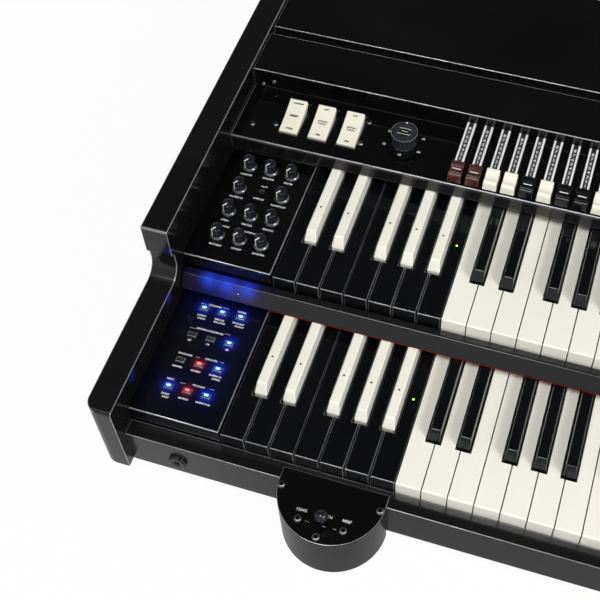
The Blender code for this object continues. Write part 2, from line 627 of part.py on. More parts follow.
def side_plate(name, side, front, top, back, skirt_low, materials):
    """Folded plate beside the keys, with a front skirt and a return along the keys."""
    inner = INSIDE - GAP
    outer = KEYS_RIGHT + PLATE_SIDE_GAP
    shape = bmesh.new()
    xs = sorted((side * inner, side * outer))
    fold = sorted((side * outer, side * (outer + PLATE_THICK)))
    box(shape, xs, (front, back), (top - PLATE_THICK, top))
    piece = solid(name, shape, materials["plate"])
    skirt = bmesh.new()
    box(skirt, xs, (front, front + PLATE_THICK), (skirt_low, top - PLATE_THICK / 2))
    combine(piece, skirt, "UNION")
    fall = bmesh.new()
    box(fall, fold, (front + PLATE_THICK / 2, back), (top - PLATE_RETURN, top - PLATE_THICK / 2))
    combine(piece, fall, "UNION")
    return piece


def make_plates(materials):
    lower = (KEYS_FRONT, KEYS_TOP + LOWER_PLATE_RISE, KEYS_FRONT + LOWER_PLATE_BACK, RAIL_TOP - PLATE_TUCK)
    upper = (UPPER_FRONT, UPPER_TOP + UPPER_PLATE_RISE, UPPER_FRONT + UPPER_PLATE_BACK,
             KEYS_TOP + MIDDLE_RAIL_TOP - PLATE_TUCK)
    button_plate = side_plate("lower_left_plate", -1, *lower, materials)
    knob_plate = side_plate("upper_left_plate", -1, *upper, materials)
    side_plate("lower_right_plate", 1, *lower, materials)
    side_plate("upper_right_plate", 1, *upper, materials)
    holes = bmesh.new()
    for x, y in button_places():
        half_x = BUTTON_SIZE[0] / 2 + BUTTON_GAP
        half_y = BUTTON_SIZE[1] / 2 + BUTTON_GAP
        box(holes, (x - half_x, x + half_x), (y - half_y, y + half_y),
            (lower[1] - 2 * PLATE_THICK, lower[1] + PLATE_THICK))
    combine(button_plate, holes, "DIFFERENCE")
    holes = bmesh.new()
    for place in KNOB_NAMES:
        x, y = knob_place(place)
        cylinder(holes, SHAFT_RADIUS + SHAFT_CLEARANCE, -2 * PLATE_THICK, PLATE_THICK,
                 (x, y, upper[1]), "z", 12)
    combine(knob_plate, holes, "DIFFERENCE")


def button_places():
    return [(KEYS_LEFT + x, KEYS_FRONT + y) for y in BUTTON_ROWS for x in BUTTON_COLUMNS]


def make_button_mat(materials):
    """One moulded mat under the plate, with a cap through each opening."""
    places = button_places()
    top = KEYS_TOP + LOWER_PLATE_RISE
    mat_top = top - PLATE_THICK - GAP
    xs = [x for x, _ in places]
    ys = [y for _, y in places]
    shape = bmesh.new()
    box(shape, (min(xs) - MAT_MARGIN, max(xs) + MAT_MARGIN), (min(ys) - MAT_MARGIN, max(ys) + MAT_MARGIN),
        (mat_top - MAT_THICK, mat_top))
    mat = solid("button_mat", shape, materials["button"])
    caps = bmesh.new()
    for x, y in places:
        half_x = BUTTON_SIZE[0] / 2
        half_y = BUTTON_SIZE[1] / 2
        box(caps, (x - half_x, x + half_x), (y - half_y, y + half_y),
            (mat_top - MAT_THICK / 2, top + BUTTON_RISE))
    combine(mat, caps, "UNION")


def knob_place(place):
    column, row = place
    return KEYS_LEFT + KNOB_COLUMNS[column], UPPER_FRONT + KNOB_ROWS[row]


def turned_knob(name, x, y, seat, base, top, height, shaft, segments, material):
    """Knob on its own shaft, which passes through the plate below; the body is as slim as its slimmer end."""
    neck = min(base, top)
    profile = [
        (0.0, -shaft), (SHAFT_RADIUS, -shaft), (SHAFT_RADIUS, GAP), (base, GAP),
        (base, height * KNOB_SKIRT_SHARE), (neck, height * KNOB_NECK_SHARE), (neck, height * KNOB_HEAD_SHARE),
        (top, height * KNOB_HEAD_SHARE + top - neck), (top, height * KNOB_RIM_SHARE),
        (top - KNOB_EDGE, height), (0.0, height),
    ]
    profile = list(dict.fromkeys(profile))
    shape = bmesh.new()
    turned(shape, profile, (x, y, seat), "z", segments)
    solid(name, shape, material, (x, y, seat), smooth=True)


def make_knobs(materials):
    seat = UPPER_TOP + UPPER_PLATE_RISE
    for place, name in KNOB_NAMES.items():
        x, y = knob_place(place)
        turned_knob(name, x, y, seat, KNOB_BASE_RADIUS, KNOB_TOP_RADIUS, KNOB_HEIGHT, SHAFT_LENGTH, 16,
                    materials["knob"])
    turned_knob("vibrato_chorus_knob", KEYS_LEFT + ROTARY_CENTRE[0], KEYS_FRONT + ROTARY_CENTRE[1], PANEL_Z,
                ROTARY_BASE_RADIUS, ROTARY_TOP_RADIUS, ROTARY_HEIGHT, SHAFT_LENGTH, 24, materials["knob"])


def rocker(shape, centre, pivot_y, pivot_z):
    """Side outline of a rocker tab about its pivot, tilted to its rest position."""
    end = TAB_HALF_LENGTH
    under = TAB_TOP - TAB_END_THICK
    quarter = TAB_TOP - TAB_HOLLOW * 3 / 4
    outline = [
        (-end, TAB_TOP), (-end, under), (-TAB_SHOULDER[0], TAB_SHOULDER[1]), (-TAB_HUB[0], TAB_HUB[1]),
        TAB_HUB, TAB_SHOULDER, (end, under), (end, TAB_TOP),
        (end / 2, quarter), (0.0, TAB_TOP - TAB_HOLLOW), (-end / 2, quarter),
    ]
    tilt = math.radians(TAB_TILT)
    turned_outline = []
    for along, up in outline:
        y = pivot_y + along * math.cos(tilt) - up * math.sin(tilt)
        z = pivot_z + along * math.sin(tilt) + up * math.cos(tilt)
        turned_outline.append((y, z))
    prism(shape, turned_outline, "x", centre - TAB_WIDTH / 2, centre + TAB_WIDTH / 2)


def tab_centres():
    return [KEYS_LEFT + TAB_FIRST + TAB_PITCH * k for k in range(len(TAB_NAMES))]


def percussion_centres():
    return [KEYS_RIGHT - TAB_FIRST - TAB_PITCH * k for k in reversed(range(PERCUSSION_TABS))]


def make_tabs(materials):
    pivot_y = KEYS_FRONT + TAB_CENTRE_BACK
    pivot_z = PANEL_Z - TAB_PIVOT_DROP
    for name, centre in zip(TAB_NAMES, tab_centres()):
        shape = bmesh.new()
        rocker(shape, centre, pivot_y, pivot_z)
        solid(name, shape, materials["cream"], (centre, pivot_y, pivot_z))
    centres = percussion_centres()
    shape = bmesh.new()
    cylinder(shape, TAB_SHAFT, 0.0, centres[-1] - centres[0], (centres[0], pivot_y, pivot_z), "x", 12)
    bank = solid("percussion_tabs", shape, materials["cream"], (centres[0], pivot_y, pivot_z))
    rockers = bmesh.new()
    for centre in centres:
        rocker(rockers, centre, pivot_y, pivot_z)
    combine(bank, rockers, "UNION")


def make_panel(materials):
    shape = bmesh.new()
    box(shape, (-INSIDE + GAP, INSIDE - GAP),
        (KEYS_FRONT + KEY_BOARD_FRONT - PANEL_LIP, KEYS_FRONT + COVER_FRONT + COVER_WALL + PANEL_LIP),
        (PANEL_Z - PANEL_THICK, PANEL_Z))
    panel = solid("control_panel", shape, materials["panel"])
    openings = bmesh.new()
    tilt = math.radians(TAB_TILT)
    reach = TAB_HALF_LENGTH * math.cos(tilt) + TAB_TOP * math.sin(tilt) + TAB_END_GAP
    middle = KEYS_FRONT + TAB_CENTRE_BACK
    for centre in tab_centres() + percussion_centres():
        half = TAB_WIDTH / 2 + TAB_SIDE_GAP
        box(openings, (centre - half, centre + half), (middle - reach, middle + reach),
            (PANEL_Z - 2 * PANEL_THICK, PANEL_Z + PANEL_THICK))
    place = (KEYS_LEFT + ROTARY_CENTRE[0], KEYS_FRONT + ROTARY_CENTRE[1], PANEL_Z)
    cylinder(openings, SHAFT_RADIUS + SHAFT_CLEARANCE, -2 * PANEL_THICK, PANEL_THICK, place, "z", 16)
    combine(panel, openings, "DIFFERENCE")


def drawbar_groups():
    """Centres of the drawbars: two sets of nine, the pedal pair, and two more sets."""
    groups = []
    start = KEYS_LEFT + DRAWBAR_FIRST
    for count in (DRAWBARS_PER_SET, DRAWBARS_PER_SET, PEDAL_DRAWBARS, DRAWBARS_PER_SET, DRAWBARS_PER_SET):
        groups.append([start + DRAWBAR_PITCH * k for k in range(count)])
        start = groups[-1][-1] + DRAWBAR_PITCH + SET_SPACE
    return groups


def drawbar_handle(shape, centre):
    front = KEYS_FRONT + HANDLE_FRONT
    low = PANEL_Z + HANDLE_LOW
    high = low + HANDLE_HEIGHT
    back = front + HANDLE_LENGTH
    saddle = HANDLE_SADDLE
    outline = [
        (front, low), (front, high - 2 * saddle), (front + saddle / 2, high - saddle / 2),
        (front + 2 * saddle, high - saddle), (back - saddle, high), (back, high - saddle / 2), (back, low),
    ]
    prism(shape, outline, "x", centre - HANDLE_WIDTH / 2, centre + HANDLE_WIDTH / 2)


def drawbar_bar(shape, centre):
    front = KEYS_FRONT + HANDLE_FRONT + HANDLE_LENGTH / 2
    back = KEYS_FRONT + COVER_FRONT + BAR_INSIDE
    box(shape, (centre - BAR_WIDTH / 2, centre + BAR_WIDTH / 2), (front, back),
        (PANEL_Z + BAR_LOW, PANEL_Z + BAR_LOW + BAR_THICK))


def make_drawbars(materials):
    groups = drawbar_groups()
    colours = ("brown", "brown", "cream", "cream", "black", "cream", "black", "black", "cream")
    for number, (centre, colour) in enumerate(zip(groups[0], colours), start=1):
        handle = bmesh.new()
        drawbar_handle(handle, centre)
        drawbar = solid("drawbar_%d" % number, handle, materials[colour])
        bar = bmesh.new()
        drawbar_bar(bar, centre)
        combine(drawbar, bar, "UNION")
    names = ("upper_drawbars_second_set", "pedal_drawbars",
             "lower_drawbars_first_set", "lower_drawbars_second_set")
    back = KEYS_FRONT + COVER_FRONT + BAR_INSIDE
    for name, centres in zip(names, groups[1:]):
        link = bmesh.new()
        box(link, (centres[0] - BAR_WIDTH / 4, centres[-1] + BAR_WIDTH / 4),
            (back - LINK_DEPTH, back - LINK_DEPTH / 4),
            (PANEL_Z + BAR_LOW + BAR_THICK / 4, PANEL_Z + BAR_LOW + BAR_THICK * 3 / 4))
        bank = solid(name, link, materials["cream"])
        bars = bmesh.new()
        handles = bmesh.new()
        for centre in centres:
            drawbar_bar(bars, centre)
            drawbar_handle(handles, centre)
        combine(bank, bars, "UNION")
        combine(bank, handles, "UNION")


def make_half_moon(materials):
    middle = KEYS_LEFT + MOON_CENTRE
    top = RAIL_TOP
    low = top - MOON_DEPTH
    back = RAIL_FRONT - GAP
    lever = (middle, RAIL_FRONT - LEVER_AHEAD, top - LEVER_PIVOT_DROP)

    def half_round(radius, rear):
        return arc(middle, rear, radius, 180, 360, 24)

    shape = bmesh.new()
    prism(shape, half_round(MOON_RADIUS, back), "z", low, top)
    case = solid("half_moon_case", shape, materials["case"])
    cavity = bmesh.new()
    prism(cavity, half_round(MOON_RADIUS - 2 * MOON_WALL, back - MOON_WALL), "z",
          low + MOON_WALL, top + MOON_WALL)
    combine(case, cavity, "DIFFERENCE")
    post = bmesh.new()
    cylinder(post, LEVER_POST, low + MOON_WALL / 2 - lever[2], -LEVER_BALL - GAP, lever, "z", 12)
    combine(case, post, "UNION")

    shape = bmesh.new()
    outline = half_round(MOON_RADIUS, back)
    outline += [(middle + MOON_RADIUS, RAIL_FRONT + MOON_PLATE_BACK),
                (middle - MOON_RADIUS, RAIL_FRONT + MOON_PLATE_BACK)]
    prism(shape, outline, "z", top + GAP, top + GAP + MOON_PLATE)
    plate = solid("half_moon_plate", shape, materials["plate"])
    slot = bmesh.new()
    rise = LEVER_PIVOT_DROP + GAP + MOON_PLATE
    travel = math.radians(LEVER_TRAVEL)
    swing = rise * math.tan(travel) + LEVER_STICK / math.cos(travel) + 2 * GAP
    box(slot, (middle - swing, middle + swing),
        (lever[1] - LEVER_STICK - 2 * GAP, lever[1] + LEVER_STICK + 2 * GAP),
        (top - MOON_PLATE, top + 3 * MOON_PLATE))
    combine(plate, slot, "DIFFERENCE")

    ball = LEVER_BALL
    knob = LEVER_KNOB
    eighth = ball * math.sqrt(0.5)
    profile = [(0.0, -ball), (eighth, -eighth), (ball, 0.0), (eighth, eighth), (LEVER_STICK, ball)]
    profile += [(knob * across, LEVER_HEIGHT + knob * along) for across, along in LEVER_KNOB_SHAPE]
    shape = bmesh.new()
    turned(shape, profile, lever, "z", 20)
    solid("half_moon_lever", shape, materials["knob"], lever, smooth=True)


def socket_centre():
    return (KEYS_LEFT + SOCKET_X, RAIL_FRONT, UNDERSIDE + SOCKET_HEIGHT)


def make_socket(materials):
    """Ring nut in front, barrel through the rail and body behind it, with one blind bore."""
    centre = socket_centre()
    body_front = RAIL_THICK + GAP
    body_back = body_front + SOCKET_BODY_LENGTH
    profile = [
        (0.0, -SOCKET_NUT_THICK - GAP), (SOCKET_NUT - 2 * GAP, -SOCKET_NUT_THICK - GAP),
        (SOCKET_NUT, -SOCKET_NUT_THICK + GAP), (SOCKET_NUT, -GAP), (SOCKET_BARREL, -GAP),
        (SOCKET_BARREL, body_front), (SOCKET_BODY, body_front), (SOCKET_BODY, body_back), (0.0, body_back),
    ]
    shape = bmesh.new()
    turned(shape, profile, centre, "y", 24)
    socket = solid("headphone_socket", shape, materials["socket"], centre, smooth=True)
    bore = bmesh.new()
    cylinder(bore, SOCKET_BORE, -SOCKET_NUT_THICK * 2, body_back - SOCKET_BORE_END, centre, "y", 16)
    combine(socket, bore, "DIFFERENCE")


def make_circuit_board(materials):
    board_low = BOARD_TOP + GAP + POST_HEIGHT
    ys = (KEYS_FRONT + CIRCUIT_Y[0], KEYS_FRONT + CIRCUIT_Y[1])
    shape = bmesh.new()
    box(shape, CIRCUIT_X, ys, (board_low, board_low + CIRCUIT_THICK))
    board = solid("main_board", shape, materials["circuit"])
    posts = bmesh.new()
    for x in (CIRCUIT_X[0] + POST_INSET, CIRCUIT_X[1] - POST_INSET):
        for y in (ys[0] + POST_INSET, ys[1] - POST_INSET):
            cylinder(posts, POST_RADIUS, 0.0, POST_HEIGHT + CIRCUIT_THICK / 2,
                     (x, y, BOARD_TOP + GAP), "z", 10)
    combine(board, posts, "UNION")
    parts = bmesh.new()
    surface = board_low + CIRCUIT_THICK / 2
    for across, along, half, height in CIRCUIT_PARTS:
        x = CIRCUIT_X[0] + across * (CIRCUIT_X[1] - CIRCUIT_X[0])
        y = ys[0] + along * (ys[1] - ys[0])
        box(parts, (x - half, x + half), (y - half, y + half), (surface, surface + height))
    combine(board, parts, "UNION")


def make_jack_plate(materials):
    """Rear plate with a mains inlet and a row of jack sockets."""
    outer = CASE_BACK - JACK_PLATE_RECESS
    zs = (UNDERSIDE + JACK_PLATE_Z[0], UNDERSIDE + JACK_PLATE_Z[1])
    middle = (zs[0] + zs[1]) / 2
    shape = bmesh.new()
    box(shape, JACK_PLATE_X, (outer - PLATE_THICK, outer), zs)
    plate = solid("rear_jack_plate", shape, materials["plate"])
    inlet_x = JACK_PLATE_X[1] - INLET_INSET
    half_x = INLET_SIZE[0] / 2
    half_z = INLET_SIZE[1] / 2
    added = bmesh.new()
    box(added, (inlet_x - half_x - INLET_WALL, inlet_x + half_x + INLET_WALL),
        (outer - PLATE_THICK / 2 - INLET_DEPTH - INLET_WALL, outer - PLATE_THICK / 2),
        (middle - half_z - INLET_WALL, middle + half_z + INLET_WALL))
    jack_xs = [JACK_PLATE_X[0] + JACK_INSET + JACK_PITCH * k for k in range(JACK_COUNT)]
    for x in jack_xs:
        cylinder(added, JACK_RADIUS, -JACK_DEPTH - INLET_WALL, JACK_PLATE_RECESS / 2,
                 (x, outer, middle), "y", 8)
    combine(plate, added, "UNION")
    hollows = bmesh.new()
    box(hollows, (inlet_x - half_x, inlet_x + half_x), (outer - INLET_DEPTH, outer + PLATE_THICK),
        (middle - half_z, middle + half_z))
    for x in jack_xs:
        cylinder(hollows, SOCKET_BORE, -JACK_DEPTH, JACK_PLATE_RECESS, (x, outer, middle), "y", 8)
    combine(plate, hollows, "DIFFERENCE")


def main():
    for piece in list(bpy.data.objects):
        bpy.data.objects.remove(piece, do_unlink=True)
    materials = make_finishes()
    make_case(materials)
    make_covers(materials)
    make_panel(materials)
    make_plates(materials)
    make_button_mat(materials)
    make_knobs(materials)
    make_tabs(materials)
    make_drawbars(materials)
    make_half_moon(materials)
    make_socket(materials)
    make_keys(materials)
    make_circuit_board(materials)
    make_jack_plate(materials)


main()
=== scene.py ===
import json
import math

import bmesh
import bpy
from mathutils import Matrix, Vector

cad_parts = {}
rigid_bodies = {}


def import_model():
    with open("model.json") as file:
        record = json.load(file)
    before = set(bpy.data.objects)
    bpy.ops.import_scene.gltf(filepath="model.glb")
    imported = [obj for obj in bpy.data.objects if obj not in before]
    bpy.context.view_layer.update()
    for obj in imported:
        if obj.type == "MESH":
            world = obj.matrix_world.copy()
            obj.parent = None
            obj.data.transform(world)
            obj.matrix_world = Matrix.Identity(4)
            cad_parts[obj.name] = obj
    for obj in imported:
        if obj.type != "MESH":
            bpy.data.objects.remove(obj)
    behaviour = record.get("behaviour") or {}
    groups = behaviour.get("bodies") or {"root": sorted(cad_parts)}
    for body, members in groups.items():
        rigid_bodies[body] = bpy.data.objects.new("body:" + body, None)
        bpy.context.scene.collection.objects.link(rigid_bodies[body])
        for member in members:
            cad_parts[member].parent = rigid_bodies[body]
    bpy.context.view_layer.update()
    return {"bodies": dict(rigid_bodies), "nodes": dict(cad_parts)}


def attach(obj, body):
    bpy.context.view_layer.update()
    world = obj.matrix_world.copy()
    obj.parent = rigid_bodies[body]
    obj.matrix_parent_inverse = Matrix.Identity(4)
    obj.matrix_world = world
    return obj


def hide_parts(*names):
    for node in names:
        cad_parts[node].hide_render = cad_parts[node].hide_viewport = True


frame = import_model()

print("organ: frame loaded,", len(frame["nodes"]), "solids")

# Lengths below are millimetres from the front left corner of the lower keys' top
layout = {
    "origin": (-505.25, -241.55, 82.0),
    "keyPitch": 23.5,
    "presetNaturals": 7,
    "octaves": 5,
    "stepBack": 148.6,
    "stepUp": 43.6,
    "keysWide": 1010.5,
    "endBlock": 89.0,
    "panelTop": 74.0,
    "coverTop": 97.0,
    "coverFront": 352.5,
    "caseBack": 550.0,
    "railFront": -17.0,
    "railTop": -17.0,
    "underside": -67.0,
}


def spot(x, y, z):
    ox, oy, oz = layout["origin"]
    return Vector(((x + ox) / 1000, (y + oy) / 1000, (z + oz) / 1000))


def mm(*values):
    return Vector([value / 1000 for value in values])


keyCorner = spot(0, 0, 0)

# Camera of the photograph
view = {
    "place": (-0.229934, -0.652685, 1.004619),
    "turn": (35.056065, 1.092751, 17.425752),
    "lens": 68.68367,
    "shift": (-0.0912771, -0.0405738),
}
cameraData = bpy.data.cameras.new("photoCamera")
cameraData.lens = view["lens"]
cameraData.sensor_width = 36.0
cameraData.shift_x, cameraData.shift_y = view["shift"]
cameraData.clip_start = 0.05
camera = bpy.data.objects.new("photoCamera", cameraData)
camera.location = view["place"]
camera.rotation_euler = [math.radians(angle) for angle in view["turn"]]
bpy.context.scene.collection.objects.link(camera)
bpy.context.scene.camera = camera
bpy.context.scene.view_settings.view_transform = "Standard"


# Shader sheets: a Wire is a socket, and sums on wires become Math nodes
class Wire:
    def __init__(self, sheet, socket):
        self.sheet = sheet
        self.socket = socket

    def math(self, operation, *values):
        return self.sheet.node("ShaderNodeMath", {"operation": operation}, dict(enumerate(values)))

    def __add__(self, other):
        return self.math("ADD", self, other)

    __radd__ = __add__

    def __sub__(self, other):
        return self.math("SUBTRACT", self, other)

    def __rsub__(self, other):
        return self.math("SUBTRACT", other, self)

    def __mul__(self, other):
        return self.math("MULTIPLY", self, other)

    __rmul__ = __mul__

    def __pow__(self, other):
        return self.math("POWER", self, other)

    def __gt__(self, other):
        return self.math("GREATER_THAN", self, other)

    def __lt__(self, other):
        return self.math("LESS_THAN", self, other)

    def clamped(self, low, high, newLow=0.0, newHigh=1.0):
        return self.sheet.node("ShaderNodeMapRange", {"clamp": True},
                               {0: self, 1: low, 2: high, 3: newLow, 4: newHigh})


class Sheet:
    def __init__(self, name, tree=None):
        if tree is None:
            self.material = bpy.data.materials.new(name)
            self.material.use_nodes = True
            tree = self.material.node_tree
        self.tree = tree
        self.tree.nodes.clear()
        self.coordinates = None

    def node(self, kind, settings=None, inputs=None, output=0):
        made = self.tree.nodes.new(kind)
        for key, value in (settings or {}).items():
            setattr(made, key, value)
        for key, value in (inputs or {}).items():
            target = made.inputs[key]
            if isinstance(value, Wire):
                self.tree.links.new(value.socket, target)
            else:
                target.default_value = (*value, 1.0) if target.type == "RGBA" else value
        return Wire(self, made.outputs[output]) if len(made.outputs) else None

    def place(self):
        if self.coordinates is None:
            self.coordinates = self.node("ShaderNodeTexCoord", output="Object")
        return self.coordinates

    def scaled(self, scale):
        return self.node("ShaderNodeMapping", {}, {"Vector": self.place(), "Scale": scale})

    def noise(self, scale, detail=3.0, roughness=0.5, vector=None, distortion=0.0):
        return self.node("ShaderNodeTexNoise", {}, {
            "Vector": vector or self.place(), "Scale": scale, "Detail": detail,
            "Roughness": roughness, "Distortion": distortion})

    def cells(self, scale, output="Distance"):
        return self.node("ShaderNodeTexVoronoi", {}, {"Vector": self.place(), "Scale": scale}, output)

    def blend(self, factor, first, second):
        return self.node("ShaderNodeMix", {"data_type": "RGBA"}, {0: factor, 6: first, 7: second}, 2)

    def parts(self, vector=None):
        split = self.node("ShaderNodeSeparateXYZ", {}, {0: vector or self.place()})
        outputs = split.socket.node.outputs
        return [Wire(self, outputs[k]) for k in range(3)]

    def bump(self, height, strength, distance):
        return self.node("ShaderNodeBump", {}, {"Strength": strength, "Distance": distance, "Height": height})

    def near(self, places, reach, fall):  # sum of soft spots, 1 at each place and 0 beyond its reach
        total = 0.0
        for place in places:
            gap = self.node("ShaderNodeVectorMath", {"operation": "DISTANCE"},
                            {0: self.place(), 1: tuple(place)}, "Value")
            total = gap.clamped(0.0, reach / 1000, 1.0, 0.0) ** fall + total
        return total

    # painted light: coloured emission round given places, standing in for lamp light on surfaces that are no
    # lamps
    def glow(self, sources):
        total = None
        for places, reach, fall, tone in sources:
            lit = self.blend(self.near(places, reach, fall).clamped(0.0, 1.0), (0.0, 0.0, 0.0), tone)
            total = lit if total is None else self.node(
                "ShaderNodeMix", {"data_type": "RGBA", "blend_type": "ADD"}, {0: 1.0, 6: total, 7: lit}, 2)
        return total

    def surface(self, inputs):
        shader = self.node("ShaderNodeBsdfPrincipled", {}, inputs)
        self.node("ShaderNodeOutputMaterial", {}, {"Surface": shader})
        return self.material


# Lit buttons of the lower left plate, front row first
buttonLook = {
    "columns": (-62.3, -43.6, -24.9), "rows": (31.5, 60.8, 90.1, 121.0), "wide": 8.0, "deep": 5.0,
    "rise": 1.5, "plateRise": 2.5, "matThick": 2.5, "matDrop": 2.3, "margin": 8.0, "round": 0.7,
    "capFoot": 3.6, "lensBack": 0.8, "lensWide": 4.2, "lensDeep": 2.5, "lensZs": (-0.4, 0.12),
    "lit": (("blue", "red", "blue"), ("dark", "red", "blue"),
            ("dark", "dark", "blue"), ("blue", "blue", "blue")),
}


def lampPlaces(kind, rise=0.0):
    look = buttonLook
    return [spot(x, row + look["lensBack"], look["plateRise"] + rise)
            for row, states in zip(look["rows"], look["lit"])
            for x, state in zip(look["columns"], states) if state == kind]


# Paints share one recipe: a peel in the surface, a drift in tone, faint handling marks.
# Each look is given as its changes to the satin black of the case; glow holds places, reach, fall and tone of
# painted lamp light.
satinLook = {
    "tones": ((0.0042, 0.0042, 0.0046), (0.0062, 0.0062, 0.0066)), "driftScale": 7.0, "peelScale": 700.0,
    "markScale": 18.0, "roughness": 0.19, "roughDrift": 0.08, "markRough": 0.07, "specular": 0.5,
    "metal": 0.0, "peelStrength": 0.02, "peelDepth": 0.00006,
}
plateLook = {
    "tones": ((0.0012, 0.0012, 0.0016), (0.0026, 0.0026, 0.0032)), "driftScale": 11.0, "peelScale": 1100.0,
    "markScale": 35.0, "roughness": 0.15, "roughDrift": 0.05, "markRough": 0.06,
    "peelStrength": 0.10, "peelDepth": 0.00004,
}
# Lighter, half-metal tone for rounded edges: painted highlight lines on black paint and plastic
edgeHighlightLook = {
    "tones": ((0.22, 0.22, 0.23), (0.34, 0.34, 0.35)), "driftScale": 60.0, "peelScale": 900.0,
    "markScale": 80.0, "roughness": 0.20, "roughDrift": 0.06, "markRough": 0.08, "specular": 0.8,
    "metal": 0.5, "peelStrength": 0.10, "peelDepth": 0.00003,
}


def paintFinish(name, changes):
    look = {**satinLook, **changes}
    sheet = Sheet(name)
    drift = sheet.noise(look["driftScale"], 2.0)
    peel = sheet.noise(look["peelScale"], 2.0)
    marks = sheet.noise(look["markScale"], 4.0, 0.65, distortion=0.6).clamped(0.52, 0.78)
    inputs = {
        "Base Color": sheet.blend(drift.clamped(0.35, 0.65), *look["tones"]),
        "Roughness": look["roughness"] + (drift - 0.5) * look["roughDrift"] + marks * look["markRough"],
        "Specular IOR Level": look["specular"], "Metallic": look["metal"],
        "Normal": sheet.bump(peel, look["peelStrength"], look["peelDepth"])}
    # glow paints the light of the lit buttons as emission on a surface that is no lamp
    if "glow" in look:
        inputs["Emission Color"] = sheet.glow(look["glow"])
        inputs["Emission Strength"] = 1.0
    return sheet.surface(inputs)


caseFinish = paintFinish("caseSatinBlack", {})
# Left cheek: painted lamp light, the blue of the lit buttons painted as emission spots on its inner face
cheekFinish = paintFinish("cheekByLamps", {"glow": ((
    (spot(-89.0, 107.0, 28.0), spot(-89.0, 20.0, 27.0), spot(-89.0, 127.0, 73.0)),
    9.0, 1.6, (0.003, 0.008, 0.16)),)})
coverFinish = paintFinish("coverGlossBlack", {
    "tones": ((0.0018, 0.0018, 0.0018), (0.0032, 0.0032, 0.0030)), "driftScale": 6.0, "peelScale": 120.0,
    "markScale": 22.0, "roughness": 0.11, "roughDrift": 0.05, "markRough": 0.06,
    "peelStrength": 0.05, "peelDepth": 0.0001})
panelFinish = paintFinish("panelGlossBlack", {
    "tones": ((0.0014, 0.0014, 0.0014), (0.0026, 0.0026, 0.0026)), "driftScale": 9.0, "peelScale": 60.0,
    "markScale": 30.0, "roughness": 0.07, "roughDrift": 0.03, "markRough": 0.05,
    "peelStrength": 0.04, "peelDepth": 0.0002})
plateFinish = paintFinish("plateSheetBlack", plateLook)
# Lower left plate: painted lamp light, blue and red pools round the lit buttons, a wide blue wash and a bluer
# base tone
lampPlateFinish = paintFinish("plateUnderLamps", {
    **plateLook, "tones": ((0.0012, 0.0012, 0.0020), (0.0024, 0.0024, 0.0036)), "glow": (
        (lampPlaces("blue"), 13.0, 2.6, (0.008, 0.040, 0.86)),
        (lampPlaces("blue"), 48.0, 2.0, (0.0004, 0.0012, 0.0150)),
        (lampPlaces("red"), 11.0, 2.4, (0.30, 0.005, 0.014)))})
# Middle rail: painted reflection of the lit buttons, blue spots and a wider blue wash on its front
railFinish = paintFinish("railUnderLamps", {"peelStrength": 0.12, "glow": (
    ((spot(-61.0, 138.2, 27.8), spot(-42.0, 137.6, 27.0), spot(-22.0, 137.6, 27.0)),
     15.0, 1.6, (0.012, 0.050, 0.66)),
    ((spot(-42.0, 136.0, 25.0),), 60.0, 2.2, (0.002, 0.005, 0.13)))})
# Button caps: painted glow, the light of their lit lenses spread as emission over the dark caps
capFinish = paintFinish("lampCap", {
    "tones": ((0.0050, 0.0050, 0.0056), (0.0080, 0.0080, 0.0086)), "driftScale": 120.0, "peelScale": 1500.0,
    "markScale": 200.0, "roughness": 0.12, "roughDrift": 0.05, "markRough": 0.08,
    "peelStrength": 0.10, "peelDepth": 0.00003, "glow": (
        (lampPlaces("blue", buttonLook["rise"]), 5.6, 1.6, (0.020, 0.085, 0.95)),
        (lampPlaces("red", buttonLook["rise"]), 5.6, 1.6, (0.72, 0.015, 0.030)))})
# rounded edges of the black case, plates, covers and caps take this lighter tone, a painted highlight
edgeHighlightFinish = paintFinish("polishedEdge", edgeHighlightLook)
# Black key edges: lighter half-metal tone, painted highlight outlines
keyEdgeHighlightFinish = paintFinish("keyEdgeBlack", {
    **edgeHighlightLook, "tones": ((0.10, 0.102, 0.106), (0.17, 0.172, 0.178)), "roughDrift": 0.05, "specular": 1.0,
    "metal": 0.45, "peelStrength": 0.06})
# Knob skirts: lighter half-metal tone than the black knob body, a painted highlight
skirtHighlightFinish = paintFinish("knobSkirt", {
    **edgeHighlightLook, "tones": ((0.10, 0.105, 0.12), (0.16, 0.165, 0.18)), "roughness": 0.24, "roughDrift": 0.05,
    "specular": 1.0, "peelStrength": 0.06})

# Moulded plastics: faint flow lines, pores and a drift in tone. Each is given as its changes to this look.
plasticLook = {
    "flowStretch": (1.0, 1.0, 1.0), "poreRough": 0.05, "rubRough": 0.08, "specular": 0.5,
    "poreStrength": 0.08, "poreDepth": 0.00004,
}


def plasticFinish(name, changes):
    look = {**plasticLook, **changes}
    sheet = Sheet(name)
    flow = sheet.noise(look["flowScale"], 3.0, 0.5, sheet.scaled(look["flowStretch"]))
    pores = sheet.noise(look["poreScale"], 2.0)
    rub = sheet.noise(look["rubScale"], 3.0).clamped(0.45, 0.75)
    return sheet.surface({
        "Base Color": sheet.blend(flow.clamped(0.3, 0.7), *look["tones"]),
        "Roughness": look["roughness"] + (pores - 0.5) * look["poreRough"] + rub * look["rubRough"],
        "Specular IOR Level": look["specular"],
        "Normal": sheet.bump(pores, look["poreStrength"], look["poreDepth"])})


